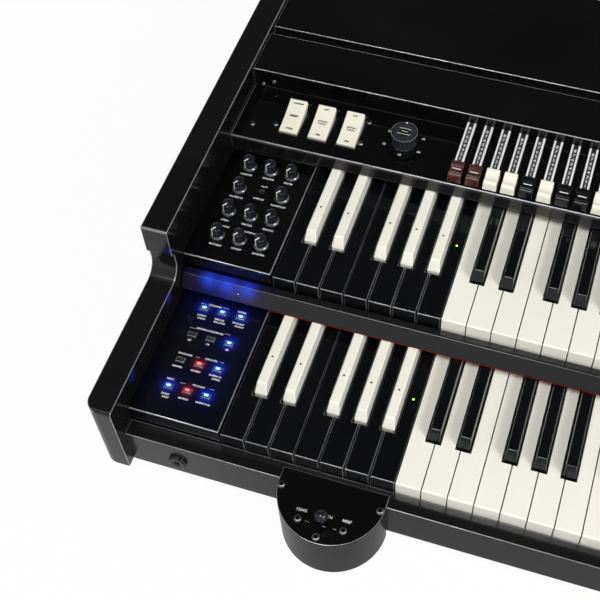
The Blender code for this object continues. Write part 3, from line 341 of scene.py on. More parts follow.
creamKeyFinish = plasticFinish("naturalKeyCream", {
    "tones": ((0.87, 0.855, 0.765), (0.84, 0.82, 0.725)), "flowScale": 30.0, "flowStretch": (1.0, 0.25, 1.0),
    "poreScale": 900.0, "rubScale": 24.0, "roughness": 0.14, "poreStrength": 0.06})
keyLookBlack = {
    "tones": ((0.0016, 0.0018, 0.0024), (0.0032, 0.0034, 0.0042)), "flowScale": 34.0,
    "flowStretch": (1.0, 0.25, 1.0), "poreScale": 1100.0, "rubScale": 28.0, "roughness": 0.10,
    "poreRough": 0.04, "poreStrength": 0.07}
blackKeyFinish = plasticFinish("keyBlack", keyLookBlack)
keyFrontFinish = plasticFinish("keyFrontBlack", {
    **keyLookBlack, "tones": ((0.0016, 0.0018, 0.0024), (0.0030, 0.0032, 0.0040)), "roughness": 0.45,
    "poreRough": 0.05, "specular": 0.12})
creamFinish = plasticFinish("tabCream", {
    "tones": ((0.86, 0.83, 0.70), (0.82, 0.79, 0.66)), "flowScale": 60.0, "flowStretch": (1.0, 0.4, 1.0),
    "poreScale": 1200.0, "rubScale": 50.0, "roughness": 0.16, "rubRough": 0.10})
brownFinish = plasticFinish("handleBrown", {
    "tones": ((0.085, 0.026, 0.020), (0.034, 0.011, 0.009)), "flowScale": 150.0,
    "flowStretch": (1.0, 0.5, 1.6), "poreScale": 1300.0, "rubScale": 60.0, "roughness": 0.13})
knobFinish = plasticFinish("knobBlack", {
    "tones": ((0.0090, 0.0100, 0.0150), (0.0150, 0.0165, 0.0230)), "flowScale": 90.0,
    "flowStretch": (1.0, 1.0, 0.4), "poreScale": 2200.0, "rubScale": 120.0, "roughness": 0.15,
    "poreRough": 0.08, "poreStrength": 0.12})
# Rotary switch body: lighter than the other knobs, painted light on its fluted side; its face is the darker
# panel black
rotaryFinish = plasticFinish("rotaryBlack", {
    "tones": ((0.016, 0.0175, 0.024), (0.028, 0.030, 0.040)), "flowScale": 90.0,
    "flowStretch": (1.0, 1.0, 0.4), "poreScale": 2200.0, "rubScale": 120.0, "roughness": 0.24})
socketFinish = plasticFinish("socketBlack", {
    "tones": ((0.010, 0.010, 0.011), (0.015, 0.015, 0.016)), "flowScale": 80.0, "poreScale": 1800.0,
    "rubScale": 90.0, "roughness": 0.30, "poreRough": 0.10, "rubRough": 0.10,
    "poreStrength": 0.18, "poreDepth": 0.00005})
rubberFinish = plasticFinish("footRubber", {
    "tones": ((0.016, 0.016, 0.016), (0.024, 0.024, 0.023)), "flowScale": 50.0, "poreScale": 1400.0,
    "rubScale": 40.0, "roughness": 0.74, "poreRough": 0.18, "rubRough": 0.10, "specular": 0.35,
    "poreStrength": 0.35, "poreDepth": 0.0001})
printLook = {
    "tones": ((0.80, 0.80, 0.79), (0.72, 0.72, 0.71)), "flowScale": 200.0, "poreScale": 2500.0,
    "rubScale": 300.0, "roughness": 0.45, "poreRough": 0.12, "rubRough": 0.10, "specular": 0.4,
    "poreStrength": 0.10, "poreDepth": 0.00003}
printFinish = plasticFinish("whitePrint", printLook)
blackPrintFinish = plasticFinish("blackPrint", {
    **printLook, "tones": ((0.010, 0.010, 0.010), (0.016, 0.016, 0.016)), "roughness": 0.40,
    "poreRough": 0.10})


# Metals: drawn streaks and a cell-like bloom
def steelFinish(name, look):
    sheet = Sheet(name)
    streaks = sheet.noise(look["streakScale"], 3.0, 0.6, sheet.scaled(look["streakStretch"]))
    bloom = sheet.node("ShaderNodeSeparateColor", {}, {0: sheet.cells(look["bloomScale"], "Color")})
    spots = sheet.noise(look["spotScale"], 4.0).clamped(0.55, 0.75)
    colour = sheet.blend(streaks.clamped(0.3, 0.7), *look["tones"])
    return sheet.surface({
        "Base Color": sheet.blend(spots * 0.5, colour, look["spotTone"]), "Metallic": 1.0,
        "Roughness": look["roughness"] + (streaks - 0.5) * 0.16 + bloom * look["bloomRough"],
        "Normal": sheet.bump(streaks, 0.12, 0.00005)})


sheetSteelFinish = steelFinish("zincSheet", {
    "tones": ((0.54, 0.55, 0.56), (0.42, 0.43, 0.45)), "spotTone": (0.34, 0.33, 0.31), "streakScale": 60.0,
    "streakStretch": (0.15, 4.0, 4.0), "bloomScale": 70.0, "spotScale": 22.0, "roughness": 0.34,
    "bloomRough": 0.14})
screwFinish = steelFinish("blackedSteel", {
    "tones": ((0.34, 0.34, 0.345), (0.22, 0.22, 0.225)), "spotTone": (0.38, 0.37, 0.35), "streakScale": 700.0,
    "streakStretch": (1.0, 1.0, 1.0), "bloomScale": 900.0, "spotScale": 350.0, "roughness": 0.30,
    "bloomRough": 0.10})
nickelFinish = steelFinish("nickelPlate", {
    "tones": ((0.62, 0.61, 0.58), (0.54, 0.53, 0.50)), "spotTone": (0.40, 0.39, 0.37), "streakScale": 400.0,
    "streakStretch": (1.0, 0.3, 1.0), "bloomScale": 500.0, "spotScale": 120.0, "roughness": 0.20,
    "bloomRough": 0.08})


# Felt: crossed fibres whose tone varies, darker in their hollows as painted shade
def feltFinish(name, high, low):
    sheet = Sheet(name)
    fibres = sheet.noise(1400.0, 4.0, 0.7, sheet.scaled((0.4, 1.0, 1.0)), 1.2)
    tufts = sheet.noise(260.0, 3.0)
    return sheet.surface({
        "Base Color": sheet.blend(fibres.clamped(0.3, 0.7), low, high), "Roughness": 0.9 - tufts * 0.1,
        "Specular IOR Level": 0.15, "Normal": sheet.bump(fibres + tufts, 0.6, 0.0004)})


feltRedFinish = feltFinish("redFelt", (0.30, 0.012, 0.016), (0.13, 0.005, 0.008))
# Near-black lining for slits, slots and screw sockets: painted shade in recesses
paintedShadeFinish = feltFinish("darkHollow", (0.004, 0.004, 0.004), (0.002, 0.002, 0.002))


# Circuit board: green mask over copper tracks, and pads
def boardFinish(name, look):
    sheet = Sheet(name)
    x, y, z = sheet.parts()
    runs = []
    for along, (scale, patch, bare) in zip((x, y), look["tracks"]):
        line = along.math("FRACT", along * scale) < look["trackWide"]
        runs.append(line * (sheet.noise(patch, 0.0) > bare))
    tracks = (runs[0] + runs[1]).clamped(0.0, 1.0)
    pads = sheet.cells(look["padScale"]) < look["padSize"]
    return sheet.surface({
        "Base Color": sheet.blend(pads, sheet.blend(tracks, *look["tones"]), look["padTone"]),
        "Roughness": 0.42 - tracks * 0.08, "Metallic": pads * 0.8,
        "Normal": sheet.bump(tracks, 0.3, 0.00008)})


circuitFinish = boardFinish("circuitBoard", {
    "tracks": ((260.0, 40.0, 0.5), (210.0, 34.0, 0.52)), "trackWide": 0.32, "padScale": 170.0,
    "padSize": 0.16,
    "tones": ((0.012, 0.075, 0.035), (0.020, 0.135, 0.060)), "padTone": (0.62, 0.60, 0.55)})


# Lamps behind milky plastic, lit or dark
def lampFinish(name, tones, glows, strength):
    sheet = Sheet(name)
    grain = sheet.noise(900.0, 2.0)
    return sheet.surface({
        "Base Color": sheet.blend(grain.clamped(0.3, 0.7), *tones), "Roughness": 0.28 + (grain - 0.5) * 0.1,
        "Emission Color": sheet.blend(grain.clamped(0.2, 0.8), *glows), "Emission Strength": strength,
        "Normal": sheet.bump(grain, 0.08, 0.00004)})


unlit = ((0.0, 0.0, 0.0), (0.001, 0.001, 0.001))
blueLampFinish = lampFinish(
    "blueLamp", ((0.10, 0.25, 0.85), (0.08, 0.20, 0.80)), ((0.24, 0.70, 1.0), (0.08, 0.36, 1.0)), 2.6)
redLampFinish = lampFinish(
    "redLamp", ((0.85, 0.04, 0.05), (0.75, 0.03, 0.04)), ((1.0, 0.16, 0.18), (1.0, 0.07, 0.09)), 2.2)
greenLampFinish = lampFinish(
    "greenLamp", ((0.15, 0.80, 0.12), (0.10, 0.70, 0.10)), ((0.55, 1.0, 0.12), (0.32, 0.9, 0.08)), 2.2)
darkLensFinish = lampFinish("darkLens", ((0.045, 0.045, 0.050), (0.030, 0.030, 0.034)), unlit, 0.0)
milkFinish = lampFinish("milkyMat", ((0.50, 0.53, 0.60), (0.44, 0.47, 0.54)), unlit, 0.0)
print("organ: finishes made")


# Mesh helpers
def link(piece):
    bpy.context.scene.collection.objects.link(piece)
    return piece


def pieceFrom(shape, name, finishes):
    bmesh.ops.recalc_face_normals(shape, faces=shape.faces)
    mesh = bpy.data.meshes.new(name)
    shape.to_mesh(mesh)
    shape.free()
    for finish in finishes:
        mesh.materials.append(finish)
    return link(bpy.data.objects.new(name, mesh))


def settle(piece):  # turns the modifiers' result into the piece's own plain mesh
    graph = bpy.context.evaluated_depsgraph_get()
    mesh = bpy.data.meshes.new_from_object(piece.evaluated_get(graph), depsgraph=graph)
    piece.modifiers.clear()
    piece.data = mesh
    mesh.name = piece.name
    return piece


def weighLayer(shape):
    layers = shape.edges.layers.float
    return layers.get("bevel_weight_edge") or layers.new("bevel_weight_edge")


def softened(piece, width, segments=2, angle=30, rule=None, edge=None, clamp=True, keep=False):
    # rule(edge) gives each edge's share of the width; without one, sharp edges that point outward are rounded
    if not keep:
        shape = bmesh.new()
        shape.from_mesh(piece.data)
        weight = weighLayer(shape)
        for rim in shape.edges:
            outward = rim.is_convex and rim.calc_face_angle(0.0) > math.radians(angle)
            rim[weight] = rule(rim) if rule else float(outward)
        shape.to_mesh(piece.data)
        shape.free()
    bevel = piece.modifiers.new("softEdges", "BEVEL")
    bevel.width = width / 1000
    bevel.segments = segments
    bevel.limit_method = "WEIGHT"
    bevel.use_clamp_overlap = clamp
    if edge is not None:
        piece.data.materials.append(edge)
        bevel.material = len(piece.data.materials) - 1
    return settle(piece)


def cut(piece, cutter, operation="DIFFERENCE"):
    tool = piece.modifiers.new("cut", "BOOLEAN")
    tool.operation = operation
    tool.solver = "EXACT"
    tool.object = cutter
    settle(piece)
    discard(cutter)
    return piece


def discard(*pieces):
    for piece in pieces:
        bpy.data.objects.remove(piece, do_unlink=True)


def joined(name, pieces):
    finishes = []
    whole = bmesh.new()
    for piece in pieces:
        start = len(whole.faces)
        whole.from_mesh(piece.data)
        whole.faces.ensure_lookup_table()
        table = []
        for finish in piece.data.materials:
            if finish not in finishes:
                finishes.append(finish)
            table.append(finishes.index(finish))
        for face in whole.faces[start:]:
            face.material_index = table[min(face.material_index, len(table) - 1)]
    discard(*pieces)
    mesh = bpy.data.meshes.new(name)
    whole.to_mesh(mesh)
    whole.free()
    for finish in finishes:
        mesh.materials.append(finish)
    return link(bpy.data.objects.new(name, mesh))


def bodyOf(node):
    return node if node in frame["bodies"] else "case"


def finished(piece, body, slot=None, nodes=(), sharp=40):
    piece.data.shade_smooth()
    piece.data.set_sharp_from_angle(angle=math.radians(sharp))
    weigh = piece.modifiers.new("flatFaces", "WEIGHTED_NORMAL")
    weigh.keep_sharp = True
    settle(piece)
    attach(piece, body)
    if nodes:
        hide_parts(*nodes)
    return piece


def mergedCopy(mesh, name, finish):
    shape = bmesh.new()
    shape.from_mesh(mesh)
    bmesh.ops.remove_doubles(shape, verts=shape.verts, dist=0.000002)
    bmesh.ops.dissolve_limit(shape, angle_limit=0.012, verts=shape.verts, edges=shape.edges)
    return pieceFrom(shape, name, [finish])


def dressed(node, finish, slot, width, segments=2, edge=None, clamp=True):
    piece = mergedCopy(frame["nodes"][node].data, node + "_dressed", finish)
    return finished(softened(piece, width, segments, edge=edge, clamp=clamp), bodyOf(node), slot, [node])


def box(shape, xs, ys, zs):
    corners = [shape.verts.new(spot(x, y, z)) for z in zs for y in ys for x in xs]
    for ring in ((0, 2, 3, 1), (4, 5, 7, 6), (0, 1, 5, 4), (2, 6, 7, 3), (0, 4, 6, 2), (1, 3, 7, 5)):
        shape.faces.new([corners[k] for k in ring])


def bar(name, xs, ys, zs, finish, width=0.4):
    shape = bmesh.new()
    box(shape, xs, ys, zs)
    return softened(pieceFrom(shape, name, [finish]), width)


def onAxis(axis, a, b, along, origin):  # a and b lie across the axis
    values = (a, b, along)
    return mm(*[values[k] for k in {"x": (2, 0, 1), "y": (0, 2, 1), "z": (0, 1, 2)}[axis]]) + Vector(origin)


def pairs(ring):  # neighbours round a closed ring
    return list(zip(ring, ring[1:] + ring[:1]))


def prism(name, finish, outline, axis, low, high, origin=(0.0, 0.0, 0.0)):
    shape = bmesh.new()
    near = [shape.verts.new(onAxis(axis, a, b, low, origin)) for a, b in outline]
    far = [shape.verts.new(onAxis(axis, a, b, high, origin)) for a, b in outline]
    shape.faces.new(near)
    shape.faces.new(list(reversed(far)))
    for (a, b), (c, d) in zip(pairs(near), pairs(far)):
        shape.faces.new((a, c, d, b))
    return pieceFrom(shape, name, [finish])


def lathe(name, finish, profile, segments, axis="z", origin=(0.0, 0.0, 0.0), flute=None):
    # (radius, height) pairs; flute(angle, height) scales the radius; ends on the axis close the form
    shape = bmesh.new()
    rings = []
    for radius, height in profile:
        ring = []
        for k in range(segments if radius else 1):
            angle = 2 * math.pi * k / segments
            reach = radius * (flute(angle, height) if flute else 1.0)
            ring.append(shape.verts.new(
                onAxis(axis, reach * math.cos(angle), reach * math.sin(angle), height, origin)))
        rings.append(ring)
    for low, high in zip(rings, rings[1:]):
        for k in range(segments):
            n = (k + 1) % segments
            corners = [low[k % len(low)], low[n % len(low)], high[n % len(high)], high[k % len(high)]]
            shape.faces.new(list(dict.fromkeys(corners)))
    return pieceFrom(shape, name, [finish])


def fluted(count, depth, low, high):  # rounded grooves between two heights
    return lambda angle, height: 1.0 - depth * (0.5 + 0.5 * math.cos(angle * count)) * (low < height < high)


def knurled(count, depth, low, high):  # square grooves between two heights
    return lambda angle, height: 1.0 - depth * (math.cos(angle * count) > 0.0) * (low < height < high)


def arc(a, b, radius, start, end, steps):
    turns = [math.radians(start + (end - start) * k / steps) for k in range(steps + 1)]
    return [(a + radius * math.cos(turn), b + radius * math.sin(turn)) for turn in turns]


def moved(piece, matrix):
    piece.data.transform(matrix)
    return piece


def turnOf(degrees, axis="Z"):
    return Matrix.Rotation(math.radians(degrees), 4, axis)


def moveTo(x, y, z):
    return Matrix.Translation(spot(x, y, z))


def copied(piece, name, matrix):
    return moved(link(bpy.data.objects.new(name, piece.data.copy())), matrix)


# A flat sheet with holes: the first loop is its outline, the others are openings
def slab(name, loops, low, high, finish, width, openingWidth=0.25, edge=None, segments=3, plain=None):
    shape = bmesh.new()
    layers = []
    for z in (low, high):
        rings = [[shape.verts.new(mm(x, y, z) + keyCorner) for x, y in loop] for loop in loops]
        edges = [shape.edges.new(pair) for ring in rings for pair in pairs(ring)]
        bmesh.ops.triangle_fill(shape, edges=edges, use_beauty=True)
        layers.append(rings)
    for lowRing, highRing in zip(*layers):
        for (a, b), (c, d) in zip(pairs(lowRing), pairs(highRing)):
            shape.faces.new((a, b, d, c))
    weight = weighLayer(shape)
    for index, ring in enumerate(layers[1]):
        for pair, ends in zip(pairs(ring), pairs(loops[index])):
            top = shape.edges.get(pair)
            top[weight] = openingWidth / width if index else 1.0
            if not index and plain is not None and all(abs(end[0] - plain) < 0.01 for end in ends):
                top[weight] = 0.1  # the edge along x = plain stays nearly sharp
    return softened(pieceFrom(shape, name, [finish]), width, segments, edge=edge, keep=True)


def rectangle(xs, ys):
    return [(xs[0], ys[0]), (xs[1], ys[0]), (xs[1], ys[1]), (xs[0], ys[1])]


def circle(x, y, radius, steps=24):
    return [(x + radius * math.cos(2 * math.pi * k / steps), y + radius * math.sin(2 * math.pi * k / steps))
            for k in range(steps)]


# Printed figures: text made a flat mesh with a hair of thickness, drawn out to a given length
printLayer = 0.02


def figure(text, height, finish, length=None, bold=0.06):
    curve = bpy.data.curves.new("figure", "FONT")
    curve.body = text
    curve.size = height / 1000 / 0.70
    curve.align_x = "CENTER"
    curve.align_y = "CENTER"
    curve.resolution_u = 3
    curve.extrude = printLayer / 1000
    curve.offset = bold / 1000
    source = link(bpy.data.objects.new("figure", curve))
    graph = bpy.context.evaluated_depsgraph_get()
    mesh = bpy.data.meshes.new_from_object(source.evaluated_get(graph), depsgraph=graph)
    discard(source)
    mesh.materials.clear()
    mesh.materials.append(finish)
    if length:
        reach = [vert.co.x for vert in mesh.vertices]
        mesh.transform(Matrix.Diagonal((length / 1000 / (max(reach) - min(reach)), 1.0, 1.0, 1.0)))
    return link(bpy.data.objects.new("figure", mesh))


def wave(length, rise, thick, turns, finish):
    steps = int(turns * 12)
    middle = [(length * (k / steps - 0.5), rise * math.sin(2 * math.pi * turns * k / steps))
              for k in range(steps + 1)]
    outline = [(x, y + thick / 2) for x, y in middle] + [(x, y - thick / 2) for x, y in reversed(middle)]
    return prism("wave", finish, outline, "z", -printLayer, printLayer)


def printedRows(name, entries, z, height, finish, slot="plate"):
    # (length, x, y) gives a run of plain numerals, (text, x, y) that text, and a length below 0 a thin rule
    marks = []
    for index, (what, x, y) in enumerate(entries):
        if isinstance(what, str):
            mark = figure(what, height, finish)
        elif what > 0:
            count = max(2, round(what / (height * 0.72)))
            start = index % 9
            mark = figure(("1234567890" * 4)[start:start + count], height, finish, what)
        else:
            outline = rectangle((what / 2, -what / 2), (-0.12, 0.12))
            mark = prism("rule", finish, outline, "z", -printLayer, printLayer)
        marks.append(moved(mark, moveTo(x, y, z + 0.03)))
    return finished(joined(name, marks), "case", slot)


# Geometry node trees: one lays a shape in a row, one sets it on given points with a seeded spin
def treeWith(name, inputs):
    tree = bpy.data.node_groups.new(name, "GeometryNodeTree")
    for label, kind in inputs.items():
        tree.interface.new_socket(name=label, in_out="INPUT", socket_type="NodeSocket" + kind)
    tree.interface.new_socket(name="Geometry", in_out="OUTPUT", socket_type="NodeSocketGeometry")
    sheet = Sheet(name, tree)
    group = tree.nodes.new("NodeGroupInput")
    return sheet, {label: Wire(sheet, group.outputs[label]) for label in inputs}


def closeTree(sheet, instances, given):
    real = sheet.node("GeometryNodeRealizeInstances", {}, {0: instances})
    index = sheet.node("GeometryNodeInputMaterialIndex")
    first = sheet.node("FunctionNodeCompare", {"data_type": "INT", "operation": "EQUAL"}, {2: index, 3: 0})
    # only a shape's first finish is set, its edges and fronts keep their own
    finish = sheet.node("GeometryNodeSetMaterial", {}, {
        "Geometry": real, "Selection": first, "Material": given["Finish"]})
    sheet.node("NodeGroupOutput", {}, {0: finish})
    return sheet.tree


def shapeOf(sheet, source):
    return sheet.node("GeometryNodeObjectInfo", {}, {"Object": source}, "Geometry")


def makeRowTree():
    sheet, given = treeWith("rowOfShapes", {
        "Shape": "Object", "Count": "Int", "Start": "Vector", "Step": "Vector", "Finish": "Material"})
    line = sheet.node("GeometryNodeMeshLine", {"mode": "OFFSET"}, {
        "Count": given["Count"], "Start Location": given["Start"], "Offset": given["Step"]})
    row = sheet.node("GeometryNodeInstanceOnPoints", {}, {
        "Points": line, "Instance": shapeOf(sheet, given["Shape"])})
    return closeTree(sheet, row, given)


def makeScatterTree():
    sheet, given = treeWith("shapesOnPlaces", {
        "Places": "Object", "Shape": "Object", "Axis": "Vector", "Spin": "Float", "Seed": "Int",
        "Finish": "Material"})
    angle = sheet.node("FunctionNodeRandomValue", {"data_type": "FLOAT"}, {
        2: 0.0, 3: given["Spin"], "Seed": given["Seed"]}, 1)
    turn = sheet.node("FunctionNodeAxisAngleToRotation", {}, {"Axis": given["Axis"], "Angle": angle})
    laid = sheet.node("GeometryNodeInstanceOnPoints", {}, {
        "Points": shapeOf(sheet, given["Places"]), "Instance": shapeOf(sheet, given["Shape"]),
        "Rotation": turn})
    return closeTree(sheet, laid, given)


rowTree = makeRowTree()
scatterTree = makeScatterTree()


def runTree(name, tree, values):
    carrier = link(bpy.data.objects.new(name, bpy.data.meshes.new(name)))
    modifier = carrier.modifiers.new("pattern", "NODES")
    modifier.node_group = tree
    for item in tree.interface.items_tree:
        if item.in_out == "INPUT" and item.name in values:
            modifier[item.identifier] = values[item.name]
    return settle(carrier)


def rowOf(shape, name, count, start, step, finish):
    return runTree(name, rowTree, {
        "Shape": shape, "Count": count, "Start": tuple(start), "Step": tuple(step), "Finish": finish})


def scattered(shape, name, places, finish, axis=(0.0, 0.0, 1.0), spin=0.0, seed=4):
    mesh = bpy.data.meshes.new(name + "Places")
    mesh.from_pydata([tuple(place) for place in places], [], [])
    points = link(bpy.data.objects.new(name + "Places", mesh))
    made = runTree(name, scatterTree, {
        "Places": points, "Shape": shape, "Axis": axis, "Spin": spin, "Seed": seed, "Finish": finish})
    discard(points)
    return made


# Keys: every note is its own shape, laid in a row of octaves
keyLook = {
    "slit": 1.0, "head": 47.0, "depth": 12.0, "skirtDepth": 19.0, "skirtLength": 9.0, "length": 201.0,
    "lipRound": 1.7, "sideRound": 0.28, "lowRound": 0.2, "darkRound": 0.95, "tailRound": 0.45,
    "sharpOffsets": {0: -2.0, 1: 2.2, 3: -2.8, 4: 0.0, 5: 2.8},
    "sharpWide": 13.0, "sharpSlim": 9.2, "sharpClear": 0.8, "sharpFront": 48.2, "sharpLength": 94.0,
    "sharpHigh": 11.5, "sharpSlope": 6.8, "sharpSill": 0.4, "sharpRound": 1.2, "sharpFoot": 12.2,
    "sharpNear": 1.1, "spine": 10.0, "sharpPlate": 5.0, "sharpPlateDrop": 17.0, "leg": 8.0,
    "legWide": 8.8, "lampBack": 84.5, "litBack": 85.0, "litAcross": 157.4,
}


def cellForm(shape, xs, ys, zs, filled):
    corners = {}
    sides = {  # the four corners of each side of a cell
        (-1, 0, 0): ((0, 0, 0), (0, 0, 1), (0, 1, 1), (0, 1, 0)),
        (1, 0, 0): ((1, 0, 0), (1, 1, 0), (1, 1, 1), (1, 0, 1)),
        (0, -1, 0): ((0, 0, 0), (1, 0, 0), (1, 0, 1), (0, 0, 1)),
        (0, 1, 0): ((0, 1, 0), (0, 1, 1), (1, 1, 1), (1, 1, 0)),
        (0, 0, -1): ((0, 0, 0), (0, 1, 0), (1, 1, 0), (1, 0, 0)),
        (0, 0, 1): ((0, 0, 1), (1, 0, 1), (1, 1, 1), (0, 1, 1)),
    }
    for i, j, k in sorted(filled):
        for step, square in sides.items():
            if (i + step[0], j + step[1], k + step[2]) not in filled:
                ring = []
                for a, b, c in square:
                    key = (i + a, j + b, k + c)
                    if key not in corners:
                        corners[key] = shape.verts.new(mm(xs[key[0]], ys[key[1]], zs[key[2]]))
                    ring.append(corners[key])
                shape.faces.new(ring)


def naturalShape(name, leftOffset, rightOffset, finish):
    look = keyLook
    pitch = layout["keyPitch"]
    clear = look["sharpWide"] / 2 + look["sharpClear"]
    headLeft, headRight = look["slit"] / 2, pitch - look["slit"] / 2
    tailLeft = headLeft if leftOffset is None else leftOffset + clear
    tailRight = headRight if rightOffset is None else pitch + rightOffset - clear
    xs = sorted({headLeft, tailLeft, tailRight, headRight})
    ys = [0.0, look["skirtLength"], look["head"], look["length"]]
    zs = [-look["skirtDepth"], -look["depth"], 0.0]
    filled = set()
    for i in range(len(xs) - 1):
        filled |= {(i, 0, 0), (i, 0, 1), (i, 1, 1)}
        if xs[i] >= tailLeft and xs[i + 1] <= tailRight:
            filled.add((i, 2, 1))
    shape = bmesh.new()
    cellForm(shape, xs, ys, zs, filled)
    shape.normal_update()
    bmesh.ops.dissolve_limit(shape, angle_limit=0.01, verts=shape.verts, edges=shape.edges)
    dark = finish is blackKeyFinish
    for face in shape.faces:
        face.normal_update()
        face.material_index = int(dark and face.normal.y < -0.9)

    def rounding(edge):  # front lip, sides, front corners; black keys are even, and finer along the tail
        ys, zs = ([vert.co[k] * 1000 for vert in edge.verts] for k in (1, 2))
        onTop, atFront, atBack = min(zs) > -0.01, max(ys) < 0.01, min(ys) > look["length"] - 0.01
        if not edge.is_convex or edge.calc_face_angle(0.0) < 0.1 or not (atFront or onTop and not atBack):
            return 0.0
        if dark:
            return look["tailRound"] if max(ys) > look["head"] + 0.1 else 1.0
        return look["lowRound"] if not onTop else 1.0 if atFront else look["sideRound"]

    if dark:
        piece = pieceFrom(shape, name, [finish, keyFrontFinish])
        return softened(piece, look["darkRound"], 4, rule=rounding, edge=keyEdgeHighlightFinish)
    return softened(pieceFrom(shape, name, [finish]), look["lipRound"], 4, rule=rounding)


def sharpShape(name, finish):
    look = keyLook
    foot, far, near = look["sharpFoot"] / 2, look["sharpLength"], look["sharpNear"]
    rows = ((-look["depth"], foot, near), (look["sharpSill"], foot, near),
            (look["sharpHigh"], look["sharpSlim"] / 2, look["sharpSlope"]))
    shape = bmesh.new()
    rings = [[shape.verts.new(mm(x, y, z)) for x, y in rectangle((-half, half), (start, far))]
             for z, half, start in rows]
    shape.faces.new(rings[0])
    shape.faces.new(rings[-1])
    for low, high in zip(rings, rings[1:]):
        for (a, b), (c, d) in zip(pairs(low), pairs(high)):
            shape.faces.new((a, b, d, c))

    def rounding(edge):
        ys, zs = ([vert.co[k] * 1000 for vert in edge.verts] for k in (1, 2))
        if max(zs) > look["sharpHigh"] - 0.01:
            return 1.0
        return 0.5 if min(zs) > look["sharpSill"] - 0.01 else float(max(ys) < near + 0.01)

    return softened(pieceFrom(shape, name, [finish]), look["sharpRound"], 4, rule=rounding)


def octavesOf(shape, name, count, start, finish):
    return rowOf(shape, name, count, start, mm(7 * layout["keyPitch"], 0, 0), finish)


def naturalRows(name, left, front, top, naturals, finish, closedEnd):
    offsets, pitch = keyLook["sharpOffsets"], layout["keyPitch"]
    rows = []
    for index in range(8 if closedEnd else min(7, naturals)):
        last = index == 7  # the closing note has no sharp beside it
        before = None if last or not index else offsets.get((index - 1) % 7)
        shape = naturalShape("noteShape", before, None if last else offsets.get(index), finish)
        count = 1 if last or not closedEnd else layout["octaves"]
        start = spot(left + (naturals - 1 if last else index) * pitch, front, top)
        rows.append(octavesOf(shape, name, count, start, finish))
        discard(shape)
    return rows


def sharpRows(name, left, front, top, count, finish):
    shape = sharpShape("sharpShape", finish)
    rows = [octavesOf(shape, name, count, spot(left + middle, front + keyLook["sharpFront"], top), finish)
            for middle in sharpMiddles()]
    discard(shape)
    return rows


def sharpMiddles():
    return [(index + 1) * layout["keyPitch"] + offset for index, offset in keyLook["sharpOffsets"].items()]


def makeManual(word, front, top):
    look = keyLook
    split = layout["presetNaturals"] * layout["keyPitch"]
    pivotBack = front + look["length"]
    sharpBack = front + look["sharpFront"] + look["sharpLength"]
    plateTop = top - look["sharpPlateDrop"]
    playing, preset = (split + 0.5, layout["keysWide"] - 0.5), (0.5, split - 0.5)
    spineYs = (pivotBack - look["spine"] / 2, pivotBack + look["spine"] / 2)
    spineZs = (top - look["depth"], top - look["depth"] + look["spine"])
    presetKeys = word + "_preset_keys"

    rows = naturalRows(word + "Naturals", split, front, top, layout["octaves"] * 7 + 1, creamKeyFinish, True)
    rows.append(bar("spine", playing, spineYs, spineZs, creamKeyFinish))
    finished(joined(word + "_naturals", rows), word + "_natural_keys", "key_cream", [word + "_natural_keys"])

    rows = sharpRows(word + "Sharps", split, front, top, layout["octaves"], blackKeyFinish)
    rows.append(bar("sharpPlate", playing, (sharpBack - look["leg"], spineYs[1]),
                    (plateTop - look["sharpPlate"], plateTop), blackKeyFinish))
    half = look["legWide"] / 2
    leg = prism("legShape", blackKeyFinish, rectangle((-half, half), (-7.0, -1.0)), "z",
                -look["sharpPlateDrop"] - 1.0, -3.0)
    rows += [octavesOf(leg, "legs", layout["octaves"], spot(split + middle, sharpBack, top), blackKeyFinish)
             for middle in sharpMiddles()]
    finished(joined(word + "_sharps", rows), word + "_sharp_keys", "key_black", [word + "_sharp_keys"])

    naturals = layout["presetNaturals"]
    rows = naturalRows(word + "PresetNaturals", 0.0, front, top, naturals, blackKeyFinish, False)
    rows.append(bar("spine", preset, spineYs, spineZs, blackKeyFinish))
    finished(joined(word + "_preset_naturals", rows), presetKeys, "key_black", [presetKeys])
    rows = sharpRows(word + "PresetSharps", 0.0, front, top, 1, creamKeyFinish)
    rows += [bar("shank", (middle - half, middle + half), (sharpBack - look["leg"], pivotBack),
                 (top - look["depth"] + 1.0, top - 3.0), creamKeyFinish) for middle in sharpMiddles()]
    finished(joined(word + "_preset_sharps", rows), presetKeys, "key_cream", [presetKeys])

    # lamp dots of the preset keys; the last one is lit
    profile = [(0.0, -0.4), (1.05, -0.4), (1.05, 0.05), (0.75, 0.28), (0.0, 0.34)]
    dot = lathe("dotShape", darkLensFinish, profile, 16)
    places = [spot(middle, look["lampBack"] + front, top + look["sharpHigh"]) for middle in sharpMiddles()]
    finished(scattered(dot, word + "_preset_lamps", places, darkLensFinish), presetKeys, "button")
    lit = [spot(look["litAcross"], front + look["litBack"], top)]
    finished(scattered(dot, word + "_preset_lamp_lit", lit, greenLampFinish), presetKeys, "button")
    discard(leg, dot)


makeManual("lower", 0.0, 0.0)
makeManual("upper", layout["stepBack"], layout["stepUp"])
print("organ: keys made")

# Case boards, rails and covers
caseLook = {
    "gap": 0.3, "round": 0.8,
    "cheek": {"thick": 26.0, "reach": 26.5, "low": 34.0, "high": 102.0, "nose": 129.0, "noseLow": 64.0,
              "undercut": 4.5, "cove": 17.0, "edge": 4.0, "corner": 13.0},
    "cover": {"wall": 4.0, "thick": 7.0, "slotFront": 405.7, "slotBack": 416.3, "tongueFront": 398.0,
              "tongueBack": 424.0, "tongueThick": 3.0},
}


